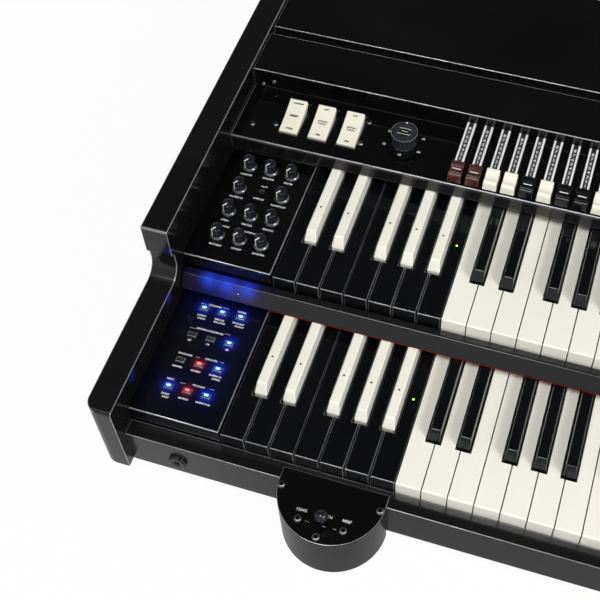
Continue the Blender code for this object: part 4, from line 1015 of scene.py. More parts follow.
def makeCheek(node, side):
    look = caseLook["cheek"]
    front, nose, cove, edge, turn = -look["reach"], look["nose"], look["cove"], look["edge"], look["corner"]
    wide = 0.0 if side < 0 else layout["keysWide"]
    inner = wide + side * layout["endBlock"]
    outer = inner + side * look["thick"]
    outline = [(layout["caseBack"], layout["underside"]), (layout["caseBack"], look["high"]),
               (nose + 1.0, look["high"]), (nose, look["high"] - 1.0)]
    outline += arc(nose + edge, look["noseLow"] + edge, edge, 180, 270, 8)
    outline += arc(nose + look["undercut"] - cove, look["low"] + cove, cove, 0, -90, 24)
    outline += arc(front + edge, look["low"] - edge, edge, 90, 180, 8)
    outline.append((front, layout["underside"]))
    plan = [(inner - side * 5.0, front)]
    plan += arc(outer - side * turn, front + turn, turn, -90, -90 + side * 90, 14)
    plan += [(outer, layout["caseBack"] + 5.0), (inner - side * 5.0, layout["caseBack"] + 5.0)]
    finish = cheekFinish if side < 0 else caseFinish
    board = prism(node, finish, outline, "x", min(inner, outer), max(inner, outer), keyCorner)
    guide = prism("guide", finish, plan, "z", layout["underside"] - 5.0, look["high"] + 5.0, keyCorner)
    rough = cut(board, guide, "INTERSECT")
    piece = mergedCopy(rough.data, node + "_rounded", finish)
    discard(rough)
    finished(softened(piece, caseLook["round"], 3, 40, edge=edgeHighlightFinish, clamp=False), "case", "case", [node])


makeCheek("left_cheek", -1)
makeCheek("right_cheek", 1)
for node in ("front_rail", "upper_key_board"):
    dressed(node, caseFinish, "case", 0.7, 3, edgeHighlightFinish, False)
dressed("middle_rail", railFinish, "case", 1.0, 3)
for node in ("bottom_board", "back_panel"):
    dressed(node, caseFinish, "case", 0.5)
for node in ("left_runner", "right_runner"):
    dressed(node, rubberFinish, "rubber", 1.2, 3)
for node in ("lower_key_frame", "upper_key_frame"):
    dressed(node, sheetSteelFinish, "steel", 0.5)
dressed("main_board", circuitFinish, "circuit", 0.2)
dressed("rear_jack_plate", plateFinish, "plate", 0.3)
print("organ: case made")

# Folded side plates: a pierced sheet with its skirt in front and its return along the keys
sheetLook = {
    "gap": 0.3, "side": 1.0, "thick": 2.0, "round": 1.1, "return": 8.0,
    "lower": {"front": 0.0, "back": 145.0, "top": 2.5, "skirt": -21.0},
    "upper": {"front": 148.6, "back": 287.6, "top": 46.6, "skirt": 25.0},
    "shaftHole": 3.3, "buttonGap": 0.4, "trimmer": (-43.0, 241.0), "trimmerHole": 2.2, "trimmerDrop": 0.6,
    "trimmerTurn": 35, "panel": {"front": 280.5, "back": 357.0, "low": 71.5, "round": 1.2},
}


def foldedPlate(node, side, level, holes, finish):
    look = sheetLook
    outer, inner = -layout["endBlock"] + look["gap"], -look["side"]
    fold = (inner - look["thick"], inner)
    xs = (outer, inner)
    if side > 0:
        wide = layout["keysWide"]
        xs, fold = (wide - inner, wide - outer), (wide - fold[1], wide - fold[0])
    front, back, top, skirt = level["front"], level["back"], level["top"], level["skirt"]
    under = top - look["thick"]
    loops = [rectangle(xs, (front, back))] + holes
    plain = xs[0] if side < 0 else xs[1]
    sheet = slab(node, loops, under, top, finish, look["round"], 0.25, edgeHighlightFinish, plain=plain)
    folds = bmesh.new()
    box(folds, xs, (front, front + look["thick"]), (skirt, under + 0.1))
    box(folds, fold, (front + look["thick"], back), (top - look["return"], under + 0.1))
    finished(joined(node + "_folded", [sheet, pieceFrom(folds, "folds", [finish])]), "case", "plate", [node])


def makeSheets():
    look = sheetLook
    halfX, halfY = buttonLook["wide"] / 2 + look["buttonGap"], buttonLook["deep"] / 2 + look["buttonGap"]
    buttons = [rectangle((x - halfX, x + halfX), (y - halfY, y + halfY))
               for x in buttonLook["columns"] for y in buttonLook["rows"]]
    shafts = [circle(*knobPlace(node)[:2], look["shaftHole"]) for node in knobGrid]
    shafts.append(circle(*look["trimmer"], look["trimmerHole"]))
    foldedPlate("lower_left_plate", -1, look["lower"], buttons, lampPlateFinish)
    foldedPlate("upper_left_plate", -1, look["upper"], shafts, plateFinish)
    foldedPlate("lower_right_plate", 1, look["lower"], [], plateFinish)
    foldedPlate("upper_right_plate", 1, look["upper"], [], plateFinish)

    panel, tabs = look["panel"], tabLook
    tilt = math.radians(tabs["tilt"])
    reach = tabs["half"] * math.cos(tilt) + tabs["top"] * math.sin(tilt) + 1.0
    half = tabs["wide"] / 2 + 0.5
    holes = [rectangle((x - half, x + half), (tabs["centreBack"] - reach, tabs["centreBack"] + reach))
             for x in tabCentres(len(tabs["names"])) + tabCentres(tabs["percussion"], True)]
    holes.append(circle(*rotaryLook["place"], look["shaftHole"]))
    ends = (-layout["endBlock"] + look["gap"], layout["keysWide"] + layout["endBlock"] - look["gap"])
    sheet = slab("control_panel_sheet", [rectangle(ends, (panel["front"], panel["back"]))] + holes,
                 panel["low"], layout["panelTop"], panelFinish, panel["round"], 0.3, edgeHighlightFinish)
    finished(sheet, "case", "panel", ["control_panel"])

    # trimmer behind its hole in the upper plate
    profile = [(0.0, -6.0), (1.8, -6.0), (1.8, -1.2), (1.5, -0.9), (0.0, -0.9)]
    screw = lathe("trimmerScrew", nickelFinish, profile, 20)
    # the slit is a near-black bar in the head, painted shade
    slit = prism("trimmerCut", paintedShadeFinish, rectangle((-1.4, 1.4), (-0.3, 0.3)), "z", -1.2, -0.86)
    place = moveTo(*look["trimmer"], look["upper"]["top"] - look["trimmerDrop"]) @ turnOf(look["trimmerTurn"])
    finished(moved(joined("trimmer_screw", [screw, slit]), place), "case", "steel")


# Effect knobs: fluted body on a smooth skirt, white pointer turned to its lowest mark
knobLook = {
    "skirt": 7.4, "top": 5.6, "high": 13.0, "flutes": 32, "fluteDepth": 0.055,
    "pointerTurn": 236.0, "pointerWide": 1.4,
    "columns": (-65.4, -42.8, -21.0), "rows": (30.0, 60.3, 89.8, 119.4), "rise": 3.0,
}
knobGrid = {
    "knob_drawbar_volume": (0, 3), "knob_reverb": (1, 3), "knob_drive": (2, 3),
    "knob_keyclick": (0, 2), "knob_leakage": (2, 2),
    "knob_bass": (0, 1), "knob_mid": (1, 1), "knob_treble": (2, 1),
    "knob_sustain": (0, 0), "knob_decay": (1, 0), "knob_volume": (2, 0),
}


def knobPlace(node):
    look = knobLook
    column, row = knobGrid[node]
    return look["columns"][column], layout["stepBack"] + look["rows"][row], layout["stepUp"] + look["rise"]


def knobShape(look):
    skirt, top, high, wide = look["skirt"], look["top"], look["high"], look["pointerWide"] / 2
    body = lathe("knobShape", knobFinish, [
        (0.0, 2.0), (top + 0.28, 2.4), (top + 0.2, 3.1), (top + 0.02, high - 1.6), (top + 0.04, high - 1.4),
        (top + 0.1, high - 0.9), (top + 0.04, high - 0.45), (top - 0.2, high - 0.12), (top - 0.55, high),
        (top - 0.95, high), (top - 1.2, high - 0.14), (top - 1.3, high - 0.3), (0.0, high - 0.22)],
                 look["flutes"] * 4, flute=fluted(look["flutes"], look["fluteDepth"], 3.0, high - 1.5))
    foot = lathe("skirtShape", skirtHighlightFinish, [
        (0.0, -9.0), (3.0, -9.0), (3.0, 0.3), (skirt - 0.2, 0.3), (skirt, 0.5), (skirt, 0.85),
        (skirt - 0.12, 1.15), (skirt - 0.45, 1.65), (skirt - 0.9, 2.1), (skirt - 1.3, 2.42),
        (top + 0.28, 2.75), (0.0, 2.8)], 96)
    path = [(0.9, high - 0.19), (top - 1.25, high - 0.2), (top - 0.95, high + 0.05), (top - 0.5, high + 0.05),
            (top - 0.1, high - 0.08), (top + 0.15, high - 0.45), (top + 0.2, high - 1.4), (top + 0.36, 3.4)]
    under = [(reach - 0.5, rise - 0.35) for reach, rise in reversed(path)]
    # the pointer runs over the top and down the side
    pointer = prism("pointerShape", printFinish, path + under, "y", -wide, wide)
    return moved(joined("knobShape", [body, foot, pointer]), turnOf(look["pointerTurn"]))


knobTemplate = knobShape(knobLook)
for node in knobGrid:
    finished(copied(knobTemplate, node + "_turned", moveTo(*knobPlace(node))), node, "knob", [node])
discard(knobTemplate)

# Rotary switch: deep flutes, a flat face and a white tick
rotaryLook = {
    "place": (80.3, 318.7), "base": 12.1, "top": 13.3, "high": 16.0, "flutes": 16, "fluteDepth": 0.11,
    "tickAngle": 94.0, "waves": ((12.0, 4.6), (7.0, 1.0), (13.0, -2.6)), "waveRise": 0.45, "waveThick": 0.5,
    "waveTurn": 2.4,
    "figures": (("01", 62.5, 329.3), ("02", 61.7, 311.9), ("03", 80.1, 302.3), ("04", 97.2, 310.8),
                ("05", 97.5, 328.6)),
}


def makeRotary(look):
    base, top, high = look["base"], look["top"], look["high"]
    body = lathe("rotaryShape", rotaryFinish, [
        (0.0, -9.0), (3.0, -9.0), (3.0, 0.3), (base - 0.4, 0.3), (base, 0.7), (base, 1.0),
        (base - 0.15, high - 3.6), (base - 0.1, high - 3.0), (top - 0.5, high - 2.6), (top - 0.1, high - 2.2),
        (top, high - 1.8), (top, high - 0.9), (top - 0.12, high - 0.5), (top - 0.4, high - 0.15),
        (top - 0.8, high - 0.1), (0.0, high - 0.6)],
                 look["flutes"] * 8, flute=fluted(look["flutes"], look["fluteDepth"], 0.8, high - 3.2))
    face = lathe("faceShape", panelFinish, [
        (0.0, high - 0.55), (top - 0.7, high - 0.4), (top - 0.8, high), (top - 1.5, high),
        (top - 1.9, high - 0.2), (top - 2.1, high - 0.45), (0.0, high - 0.35)], 96)
    # a ring of the lighter edge tone round the face: painted highlight on the rim
    rim = lathe("rimShape", edgeHighlightFinish, [
        (top - 0.9, high - 0.2), (top - 0.3, high - 0.3), (top - 0.22, high - 0.04), (top - 0.5, high + 0.09),
        (top - 0.85, high + 0.06), (top - 0.9, high - 0.2)], 96)
    path = [(9.2, high - 0.3), (top - 2.12, high - 0.3), (top - 1.6, high + 0.14), (top - 0.75, high + 0.15),
            (top - 0.3, high - 0.12), (top + 0.03, high - 0.5), (top + 0.05, high - 1.9)]
    under = [(reach - 0.6, rise - 0.5) for reach, rise in reversed(path)]
    tick = prism("tickShape", printFinish, path + under, "y", -0.7, 0.7)
    knob = moved(joined("rotaryShape", [body, face, rim, tick]), turnOf(look["tickAngle"]))
    lines = [moved(wave(length, look["waveRise"], look["waveThick"], length / look["waveTurn"], printFinish),
                   Matrix.Translation(mm(0, along, high - 0.3))) for length, along in look["waves"]]
    knob = joined("vibrato_chorus_knob_turned", [knob] + lines)
    place = moveTo(*look["place"], layout["panelTop"])
    finished(moved(knob, place), "vibrato_chorus_knob", "knob", ["vibrato_chorus_knob"])


makeRotary(rotaryLook)
printedRows("rotary_figures", rotaryLook["figures"], layout["panelTop"], 2.4, printFinish, slot="panel")
print("organ: knobs made")

# Rocker tabs: hollowed face, soft edges, one print at each end
tabLook = {
    "first": -34.0, "pitch": 30.0, "wide": 18.7, "half": 19.4, "top": 12.4, "centreBack": 319.0,
    "pivotDrop": 6.0, "tilt": 10.5, "round": 0.7, "corner": 2.2, "hollow": 1.15,
    "waves": ((10.2, 4.0, 1.4), (8.2, 3.2, -1.4)),
    "waveRise": 0.55, "waveThick": 1.1,
    "names": ("tab_volume", "tab_vibrato_upper", "tab_vibrato_lower"), "percussion": 4,
}


def tabCentres(count, fromRight=False):
    steps = [tabLook["first"] + tabLook["pitch"] * k for k in range(count)]
    return [layout["keysWide"] - step for step in steps] if fromRight else steps


def tabShape(look, words):
    half, top, wide = look["half"], look["top"], look["wide"] / 2

    def faceHeight(along):
        return top - look["hollow"] * (1.0 - (along / half) ** 2)

    def rounding(edge):  # the far right corner is cut off further than the rest
        if all(abs(vert.co.y * 1000 - half) < 0.01 and vert.co.x > 0 for vert in edge.verts):
            return 1.0
        return look["round"] / look["corner"] if edge.calc_face_angle(0.0) > math.radians(28) else 0.0

    face = [(half - 2 * half * k / 12, faceHeight(half - 2 * half * k / 12)) for k in range(13)]
    under = [(-half, top - 4.2), (-8.0, 2.0), (-5.0, -3.0), (5.0, -3.0), (8.0, 2.0), (half, top - 4.2)]
    rocker = prism("tabShape", creamFinish, face + under, "x", -wide, wide)
    pieces = [softened(rocker, look["corner"], 3, rule=rounding)]
    prints = [(figure(body, 2.2, blackPrintFinish, length, 0.22), along) for body, length, along in words]
    if len(words) == 2:
        prints += [(wave(length, look["waveRise"], look["waveThick"], turns, blackPrintFinish), along)
                   for length, turns, along in look["waves"]]
    for made, along in prints:
        pieces.append(moved(made, Matrix.Translation(mm(0, along, faceHeight(along) + 0.03))))
    return moved(joined("tabShape", pieces), turnOf(look["tilt"], "X"))


def makeTabs(look):
    far = look["half"] - 4.0
    switch = tabShape(look, (("OFF", 5.2, far), ("ON", 4.6, -far)))
    volume = tabShape(look, (("123456", 11.0, far), ("34567", 9.2, 0.6), ("1234", 7.0, -far)))
    pivot = (look["centreBack"], layout["panelTop"] - look["pivotDrop"])
    for node, x in zip(look["names"], tabCentres(len(look["names"]))):
        source = volume if node == "tab_volume" else switch
        finished(copied(source, node + "_rocker", moveTo(x, *pivot)), node, "cream", [node])
    places = tabCentres(look["percussion"], True)
    rockers = [copied(switch, "percussionRocker", moveTo(x, *pivot)) for x in places]
    reach = places[0] - places[-1]
    profile = [(0.0, 0.0), (3.0, 0.0), (3.0, reach), (0.0, reach)]
    rockers.append(lathe("percussionShaft", sheetSteelFinish, profile, 24, "x", spot(places[-1], *pivot)))
    finished(joined("percussion_rockers", rockers), "percussion_tabs", "cream", ["percussion_tabs"])
    discard(switch, volume)


makeTabs(tabLook)
makeSheets()
print("organ: tabs and plates made")

# Drawbars: white bar with a black numbered strip, saddle-backed handle
drawbarLook = {
    "pitch": 17.3, "first": 139.8, "sets": (9, 9, 2, 9, 9), "setSpace": 10.0,
    "barWide": 8.6, "barThick": 3.6, "barLow": 8.0, "barFront": 291.0, "barBack": 384.5,
    "handleWide": 13.4, "handleFront": 282.0, "handleLow": 1.5, "stripWide": 4.7, "stripFront": 297.0,
    "numberFront": 304.6, "numberStep": 5.75, "numberHigh": 3.6,
    "colours": ("brown", "brown", "cream", "cream", "black", "cream", "black", "black", "cream"),
    "banks": ("upper_drawbars_second_set", "pedal_drawbars",
              "lower_drawbars_first_set", "lower_drawbars_second_set"),
    "profile": ((0.0, 0.0), (0.0, 7.4), (0.25, 8.8), (0.9, 10.0), (1.9, 10.7), (3.2, 10.75), (4.6, 10.1),
                (6.2, 9.5), (8.0, 9.5), (10.0, 10.1), (12.2, 11.2), (14.2, 12.1), (15.8, 12.5), (17.2, 12.4),
                (18.1, 11.6), (18.5, 10.4), (18.5, 0.0)),
}
handleFinishes = {"brown": brownFinish, "cream": creamFinish, "black": blackKeyFinish}


def drawbarCentres(look):
    groups = []
    start = look["first"]
    for count in look["sets"]:
        groups.append([start + look["pitch"] * k for k in range(count)])
        start = groups[-1][-1] + look["pitch"] + look["setSpace"]
    return groups


def handleShape(look, finish):
    wide, top = look["handleWide"] / 2, look["profile"][-3][1]
    shape = prism("handleShape", finish, look["profile"], "x", -wide, wide)
    for vert in shape.data.vertices:  # narrower towards the top
        vert.co.x *= 1.03 - 0.09 * vert.co.z * 1000 / top
    return softened(shape, 0.6, 3, 32)


def barPieces(look):
    ox, oy, oz = layout["origin"]
    low = layout["panelTop"] + look["barLow"]
    top = low + look["barThick"]
    wide, strip, back = look["barWide"] / 2, look["stripWide"] / 2, look["barBack"]
    white = bar("barShape", (-ox - wide, -ox + wide), (-oy + look["barFront"], -oy + back),
                (-oz + low, -oz + top), printFinish, 0.35)
    inlay = bar("stripShape", (-ox - strip, -ox + strip), (-oy + look["stripFront"], -oy + back - 0.4),
                (-oz + top - 0.2, -oz + top + 0.03), blackPrintFinish, 0.01)
    return white, inlay


def numberColumn(look, centres, name):
    rows = []
    top = layout["panelTop"] + look["barLow"] + look["barThick"] + 0.05
    for number in range(1, 9):
        shape = figure(str(number), look["numberHigh"], printFinish)
        start = spot(centres[0], look["numberFront"] + look["numberStep"] * (number - 1), top)
        rows.append(rowOf(shape, name, len(centres), start, mm(look["pitch"], 0, 0), printFinish))
        discard(shape)
    return rows


def drawbarSet(look, centres, colours, name):
    step = mm(look["pitch"], 0, 0)
    pieces = []
    for shape, finish in zip(barPieces(look), (printFinish, blackPrintFinish)):
        pieces.append(rowOf(shape, name, len(centres), spot(centres[0], 0, 0), step, finish))
        discard(shape)
    pieces += numberColumn(look, centres, name)
    for colour in sorted(set(colours)):
        shape = handleShape(look, handleFinishes[colour])
        places = [spot(centre, look["handleFront"], layout["panelTop"] + look["handleLow"])
                  for centre, own in zip(centres, colours) if own == colour]
        pieces.append(scattered(shape, name, places, handleFinishes[colour]))
        discard(shape)
    return pieces


drawbarGroups = drawbarCentres(drawbarLook)


def makeDrawbars(look):
    for index, (centre, colour) in enumerate(zip(drawbarGroups[0], look["colours"])):
        node = "drawbar_%d" % (index + 1)
        made = joined(node + "_numbered", drawbarSet(look, [centre], [colour], node + "Part"))
        finished(made, node, colour if colour != "black" else "key_black", [node])
    linkYs = (look["barBack"] - 8.0, look["barBack"] - 2.0)
    linkZ = layout["panelTop"] + look["barLow"] + look["barThick"] / 2
    for node, centres in zip(look["banks"], drawbarGroups[1:]):
        colours = look["colours"] if len(centres) == 9 else ("brown", "brown")
        parts = drawbarSet(look, centres, colours, node + "Part")
        linkXs = (centres[0] - 2.1, centres[-1] + 2.1)
        parts.append(bar("link", linkXs, linkYs, (linkZ - 0.9, linkZ + 0.9), creamFinish, 0.2))
        finished(joined(node + "_numbered", parts), node, "cream", [node])


makeDrawbars(drawbarLook)
print("organ: drawbars made")


# Top covers: drawbar slots in the front one, the groove for a music rest between them
def makeCover(name, outline):
    ends = layout["endBlock"] - caseLook["gap"]
    cover = prism(name, coverFinish, outline, "x", -ends, layout["keysWide"] + ends, keyCorner)
    return softened(cover, caseLook["round"], 4, edge=edgeHighlightFinish)


def makeCovers(look, bars):
    gap = caseLook["gap"]
    front, back, top = layout["coverFront"], layout["caseBack"], layout["coverTop"]
    low, foot, wall = top - look["thick"], layout["panelTop"] + gap, front + look["wall"]
    cover = makeCover("top_cover_front_slotted", [
        (front, foot), (wall, foot), (wall, low), (look["slotFront"], low), (look["slotFront"], top),
        (front, top)])
    slots = bmesh.new()
    half = bars["barWide"] / 2 + gap
    barLow = layout["panelTop"] + bars["barLow"]
    slotYs, slotZs = (front - 4.0, wall + 4.0), (barLow - gap, barLow + bars["barThick"] + gap)
    for centre in [x for group in drawbarGroups for x in group]:
        box(slots, (centre - half, centre + half), slotYs, slotZs)
    finished(cut(cover, pieceFrom(slots, "slots", [paintedShadeFinish])), "case", "case", ["top_cover_front"])
    tongueFront, tongueBack, tongueTop = look["tongueFront"], look["tongueBack"], low - gap
    tongueLow = tongueTop - look["tongueThick"]
    cover = makeCover("top_cover_rear_rounded", [
        (tongueFront, tongueTop), (look["slotBack"], tongueTop), (look["slotBack"], top), (back, top),
        (back, low), (tongueBack, low), (tongueBack, tongueLow), (tongueFront, tongueLow)])
    finished(cover, "case", "case", ["top_cover_rear"])


makeCovers(caseLook["cover"], drawbarLook)

# One milky mat with a dark cap through each opening and a small lens in every cap
lampFinishes = {"blue": blueLampFinish, "red": redLampFinish, "dark": darkLensFinish}


def makeButtons(look):
    columns, rows, margin = look["columns"], look["rows"], look["margin"]
    matTop = look["plateRise"] - look["matDrop"]
    mat = bar("buttonMat", (columns[0] - margin, columns[-1] + margin), (rows[0] - margin, rows[-1] + margin),
              (matTop - look["matThick"], matTop), milkFinish)
    parts = [mat]
    halfX, halfY = look["wide"] / 2, look["deep"] / 2
    outline = rectangle((-halfX, halfX), (-halfY, halfY))
    cap = prism("capShape", capFinish, outline, "z", -look["capFoot"], look["rise"])
    cap = softened(cap, look["round"], 3, edge=edgeHighlightFinish)
    places = [spot(x, row, look["plateRise"]) for x in columns for row in rows]
    parts.append(scattered(cap, "caps", places, capFinish))
    halfX, halfY = look["lensWide"] / 2, look["lensDeep"] / 2
    low, high = [look["rise"] + rise for rise in look["lensZs"]]
    outline = rectangle((-halfX, halfX), (-halfY, halfY))
    lens = softened(prism("lensShape", darkLensFinish, outline, "z", low, high), 0.3)
    for kind, finish in lampFinishes.items():
        parts.append(scattered(lens, kind + "Lenses", lampPlaces(kind), finish))
    discard(cap, lens)
    finished(joined("button_mat_lit", parts), "button_mat", "button", ["button_mat"])


makeButtons(buttonLook)

# Half-round switch box: case, cover plate and lever
moonLook = {
    "centre": 112.3, "radius": 49.6, "deep": 61.0, "wall": 2.5, "plate": 1.5, "plateBack": 11.0, "round": 0.7,
    "leverAhead": 30.0, "pivotDrop": 8.0, "leverHigh": 24.0, "knob": 6.2, "steps": 96,
    "slotHalf": (5.72, 2.4), "ball": 4.0, "stick": 1.8, "post": 5.0, "postDrop": 4.3,
    "figures": ((9.0, 91.5, -41.0), (4.5, 117.6, -40.4), (8.5, 132.9, -40.0), (-3.0, 99.5, -50.0),
                (-3.0, 115.6, -50.2), (-3.0, 124.8, -49.9)),
}


def makeHalfMoon(look):
    middle, radius, steps, wall = look["centre"], look["radius"], look["steps"], look["wall"]
    top, front = layout["railTop"], layout["railFront"]
    low, back = top - look["deep"], front - caseLook["gap"]
    pivot, pivotZ = (middle, front - look["leverAhead"]), top - look["pivotDrop"]
    outside = arc(middle, back, radius, 180, 360, steps)
    inside = arc(middle, back - wall, radius - 2 * wall, 180, 360, steps)
    cup = slab("moonCup", [outside, inside], low, top, caseFinish, look["round"], 0.3)
    floor = prism("moonFloor", caseFinish, inside, "z", low, low + wall, keyCorner)
    foot, rise, reach = low + 1.2, pivotZ - look["postDrop"], look["post"]
    profile = [(0.0, foot), (reach, foot), (reach, rise), (0.0, rise)]
    post = lathe("moonPost", caseFinish, profile, 32, "z", spot(*pivot, 0))
    finished(joined("half_moon_cup", [cup, floor, post]), "case", "case", ["half_moon_case"], 30)

    # cover plate with its slot
    plateLow = top + caseLook["gap"]
    plateHigh = plateLow + look["plate"]
    slot = rectangle(*[(at - half, at + half) for at, half in zip(pivot, look["slotHalf"])])
    ears = [(middle + radius, front + look["plateBack"]), (middle - radius, front + look["plateBack"])]
    loops = [outside + ears, slot]
    plate = slab("half_moon_cover", loops, plateLow, plateHigh, plateFinish, 0.5, 0.04, edgeHighlightFinish, 2)
    finished(plate, "case", "plate", ["half_moon_plate"])

    # lever: ball in the post, slim stick, turned black knob
    high, knob, ball = look["leverHigh"], look["knob"], look["ball"]
    turns = [math.radians(angle) for angle in range(15, 166, 15)]
    ballSide = [(ball * math.sin(turn), -ball * math.cos(turn)) for turn in turns[:10]]
    knobSide = [(knob * math.sin(turn), high - knob * 0.05 - knob * 0.9 * math.cos(turn))
                for turn in turns[1:]]
    stick = [(look["stick"], ball), (look["stick"] - 0.2, high - knob)]
    lever = lathe("half_moon_lever_turned", knobFinish,
                  [(0.0, -ball)] + ballSide + stick + knobSide + [(0.0, high + knob * 0.85)], 72, "z",
                  spot(*pivot, pivotZ), knurled(18, 0.07, high - knob * 0.5, high + knob * 0.5))
    finished(lever, "half_moon_lever", "knob", ["half_moon_lever"], 50)

    # figures and short rules on the cover
    printedRows("half_moon_figures", look["figures"], plateHigh, 2.5, printFinish)
    return plateHigh


moonTop = makeHalfMoon(moonLook)
print("organ: half-round box made")

# Headphone socket: knurled ring nut, blind bore
socketLook = {
    "x": -39.9, "z": -43.8, "nut": 8.8, "nutThick": 3.5, "barrel": 6.0, "bore": 3.3, "body": 8.0,
    "railThick": 16.0, "boreDeep": 12.0, "bodyDeep": 14.0,
}


def makeSocket(look):
    inside, face = look["railThick"] + 0.3, -look["nutThick"]
    deep, back = inside + look["boreDeep"], inside + look["bodyDeep"]
    nut, barrel, bore, body = look["nut"], look["barrel"], look["bore"], look["body"]
    profile = [
        (0.0, deep), (bore, deep), (bore, face + 0.9), (bore + 0.5, face + 0.2), (bore + 1.6, face + 0.1),
        (bore + 1.9, face - 0.2), (nut - 1.4, face - 0.3), (nut - 0.5, face + 0.1), (nut, face + 0.9),
        (nut, -0.3), (barrel, -0.3), (barrel, inside), (body, inside), (body, back), (0.0, back)]
    place = spot(look["x"], layout["railFront"], look["z"])
    socket = lathe("headphone_socket_turned", socketFinish, profile, 96, "y", place,
                   knurled(24, 0.07, face + 0.5, -0.2))
    finished(socket, "case", "socket", ["headphone_socket"], 30)


makeSocket(socketLook)

# Red felt under the middle rail
feltLook = {"xs": (2.0, 1008.5), "ys": (130.6, 141.0), "zs": (11.6, 13.5)}
felt = bar("middle_rail_felt", feltLook["xs"], feltLook["ys"], feltLook["zs"], feltRedFinish, 0.5)
finished(felt, "case", "case")

# Button-head screws with a socket, set with a seeded turn
screwLook = {
    "moon": ((66.6, -23.2), (157.7, -22.3), (90.9, -49.7), (132.2, -49.2), (111.5, -61.4)), "moonRadius": 3.6,
    "panel": ((-72.4, 300.3), (-49.4, 306.2), (39.5, 334.9), (39.4, 305.6)), "panelRadius": 2.8,
    "wall": ((-67.1, 83.5), (-78.8, 77.6)), "wallRadius": 2.0, "rail": ((-30.8, 134.4, 21.0),), "seed": 11,
    "facings": {"up": (0, (0, 0, 1)), "front": (90, (0, -1, 0)), "back": (-90, (0, 1, 0))},
}


def setScrews(name, places, radius, facing):
    turn, axis = screwLook["facings"][facing]
    high = radius * 0.55
    profile = [(radius * reach, high * rise) for reach, rise in (
        (1.0, 0.25), (0.95, 0.5), (0.82, 0.8), (0.70, 0.97), (0.60, 1.0), (0.56, 0.92))]
    head = lathe("screwShape", screwFinish,
                 [(0.0, -0.4), (radius, -0.4)] + profile + [(radius * 0.54, 0.1), (0.0, 0.1)], 24)
    # near-black lining of the socket: painted shade
    hollow = lathe("socketShape", paintedShadeFinish, [
        (0.0, 0.12), (radius * 0.52, 0.12), (radius * 0.52, high * 0.86), (radius * 0.46, high * 0.88),
        (radius * 0.46, 0.2), (0.0, 0.2)], 6)
    shape = moved(joined("screwShape", [head, hollow]), turnOf(turn, "X"))
    made = scattered(shape, name, places, screwFinish, axis, 6.28, screwLook["seed"])
    discard(shape)
    return finished(made, "case", "steel")


def makeScrews(look):
    setScrews("moon_screws", [spot(x, y, moonTop) for x, y in look["moon"]], look["moonRadius"], "up")
    places = [spot(x, y, layout["panelTop"]) for x, y in look["panel"]]
    setScrews("panel_screws", places, look["panelRadius"], "up")
    places = [spot(x, layout["coverFront"], z) for x, z in look["wall"]]
    setScrews("wall_screws", places, look["wallRadius"], "front")
    setScrews("rail_screw", [spot(*place) for place in look["rail"]], look["wallRadius"], "front")


makeScrews(screwLook)

# Rear plate: ring nuts and sleeves of the jacks, pins of the mains inlet, screws and numbers
rearLook = {
    "face": 548.0, "jacks": (67.0, 107.0, 147.0, 187.0), "jackZ": -12.0, "nut": 6.4, "nutHigh": 1.5,
    "bore": 2.7,
    "sleeve": 3.0, "deep": -8.0,  # below 0 is into the case
    "screws": ((52, -40), (215, -40), (378, -40), (52, 16), (215, 16), (378, 16)),
    "screwRadius": 2.6, "pins": ((345.0, -14.0), (351.0, -10.0), (357.0, -14.0)), "pinYs": (532.0, 544.0),
    "pinSize": (1.0, 2.0), "figureHigh": 4.5, "figureZ": 2.0,
}


def makeRear(look):
    face, deep, sleeve = look["face"], look["deep"], look["sleeve"]
    high, nut, bore = look["nutHigh"], look["nut"], look["bore"]
    ring = lathe("ringShape", screwFinish, [
        (0.0, deep - 0.2), (sleeve, deep - 0.2), (sleeve, -0.3), (nut, -0.3), (nut, high - 0.4),
        (nut - 0.4, high), (bore + 0.6, high), (bore, high - 0.5), (bore, deep), (0.0, deep)], 80, "y",
                 flute=knurled(20, 0.05, -0.2, high - 0.2))
    places = [spot(x, face, look["jackZ"]) for x in look["jacks"]]
    finished(scattered(ring, "rear_jack_nuts", places, screwFinish, (0, 1, 0)), "case", "steel")
    discard(ring)
    setScrews("rear_plate_screws", [spot(x, face, z) for x, z in look["screws"]], look["screwRadius"], "back")
    wide, tall = look["pinSize"]
    pins = [bar("pinShape", (x - wide, x + wide), look["pinYs"], (z - tall, z + tall), screwFinish, 0.3)
            for x, z in look["pins"]]
    finished(joined("mains_inlet_pins", pins), "case", "steel")
    figures = [
        moved(figure(str(index + 1), look["figureHigh"], printFinish),
              moveTo(x, face + 0.06, look["figureZ"]) @ turnOf(180) @ turnOf(90, "X"))
        for index, x in enumerate(reversed(look["jacks"]))]
    finished(joined("rear_figures", figures), "case", "plate")


makeRear(rearLook)

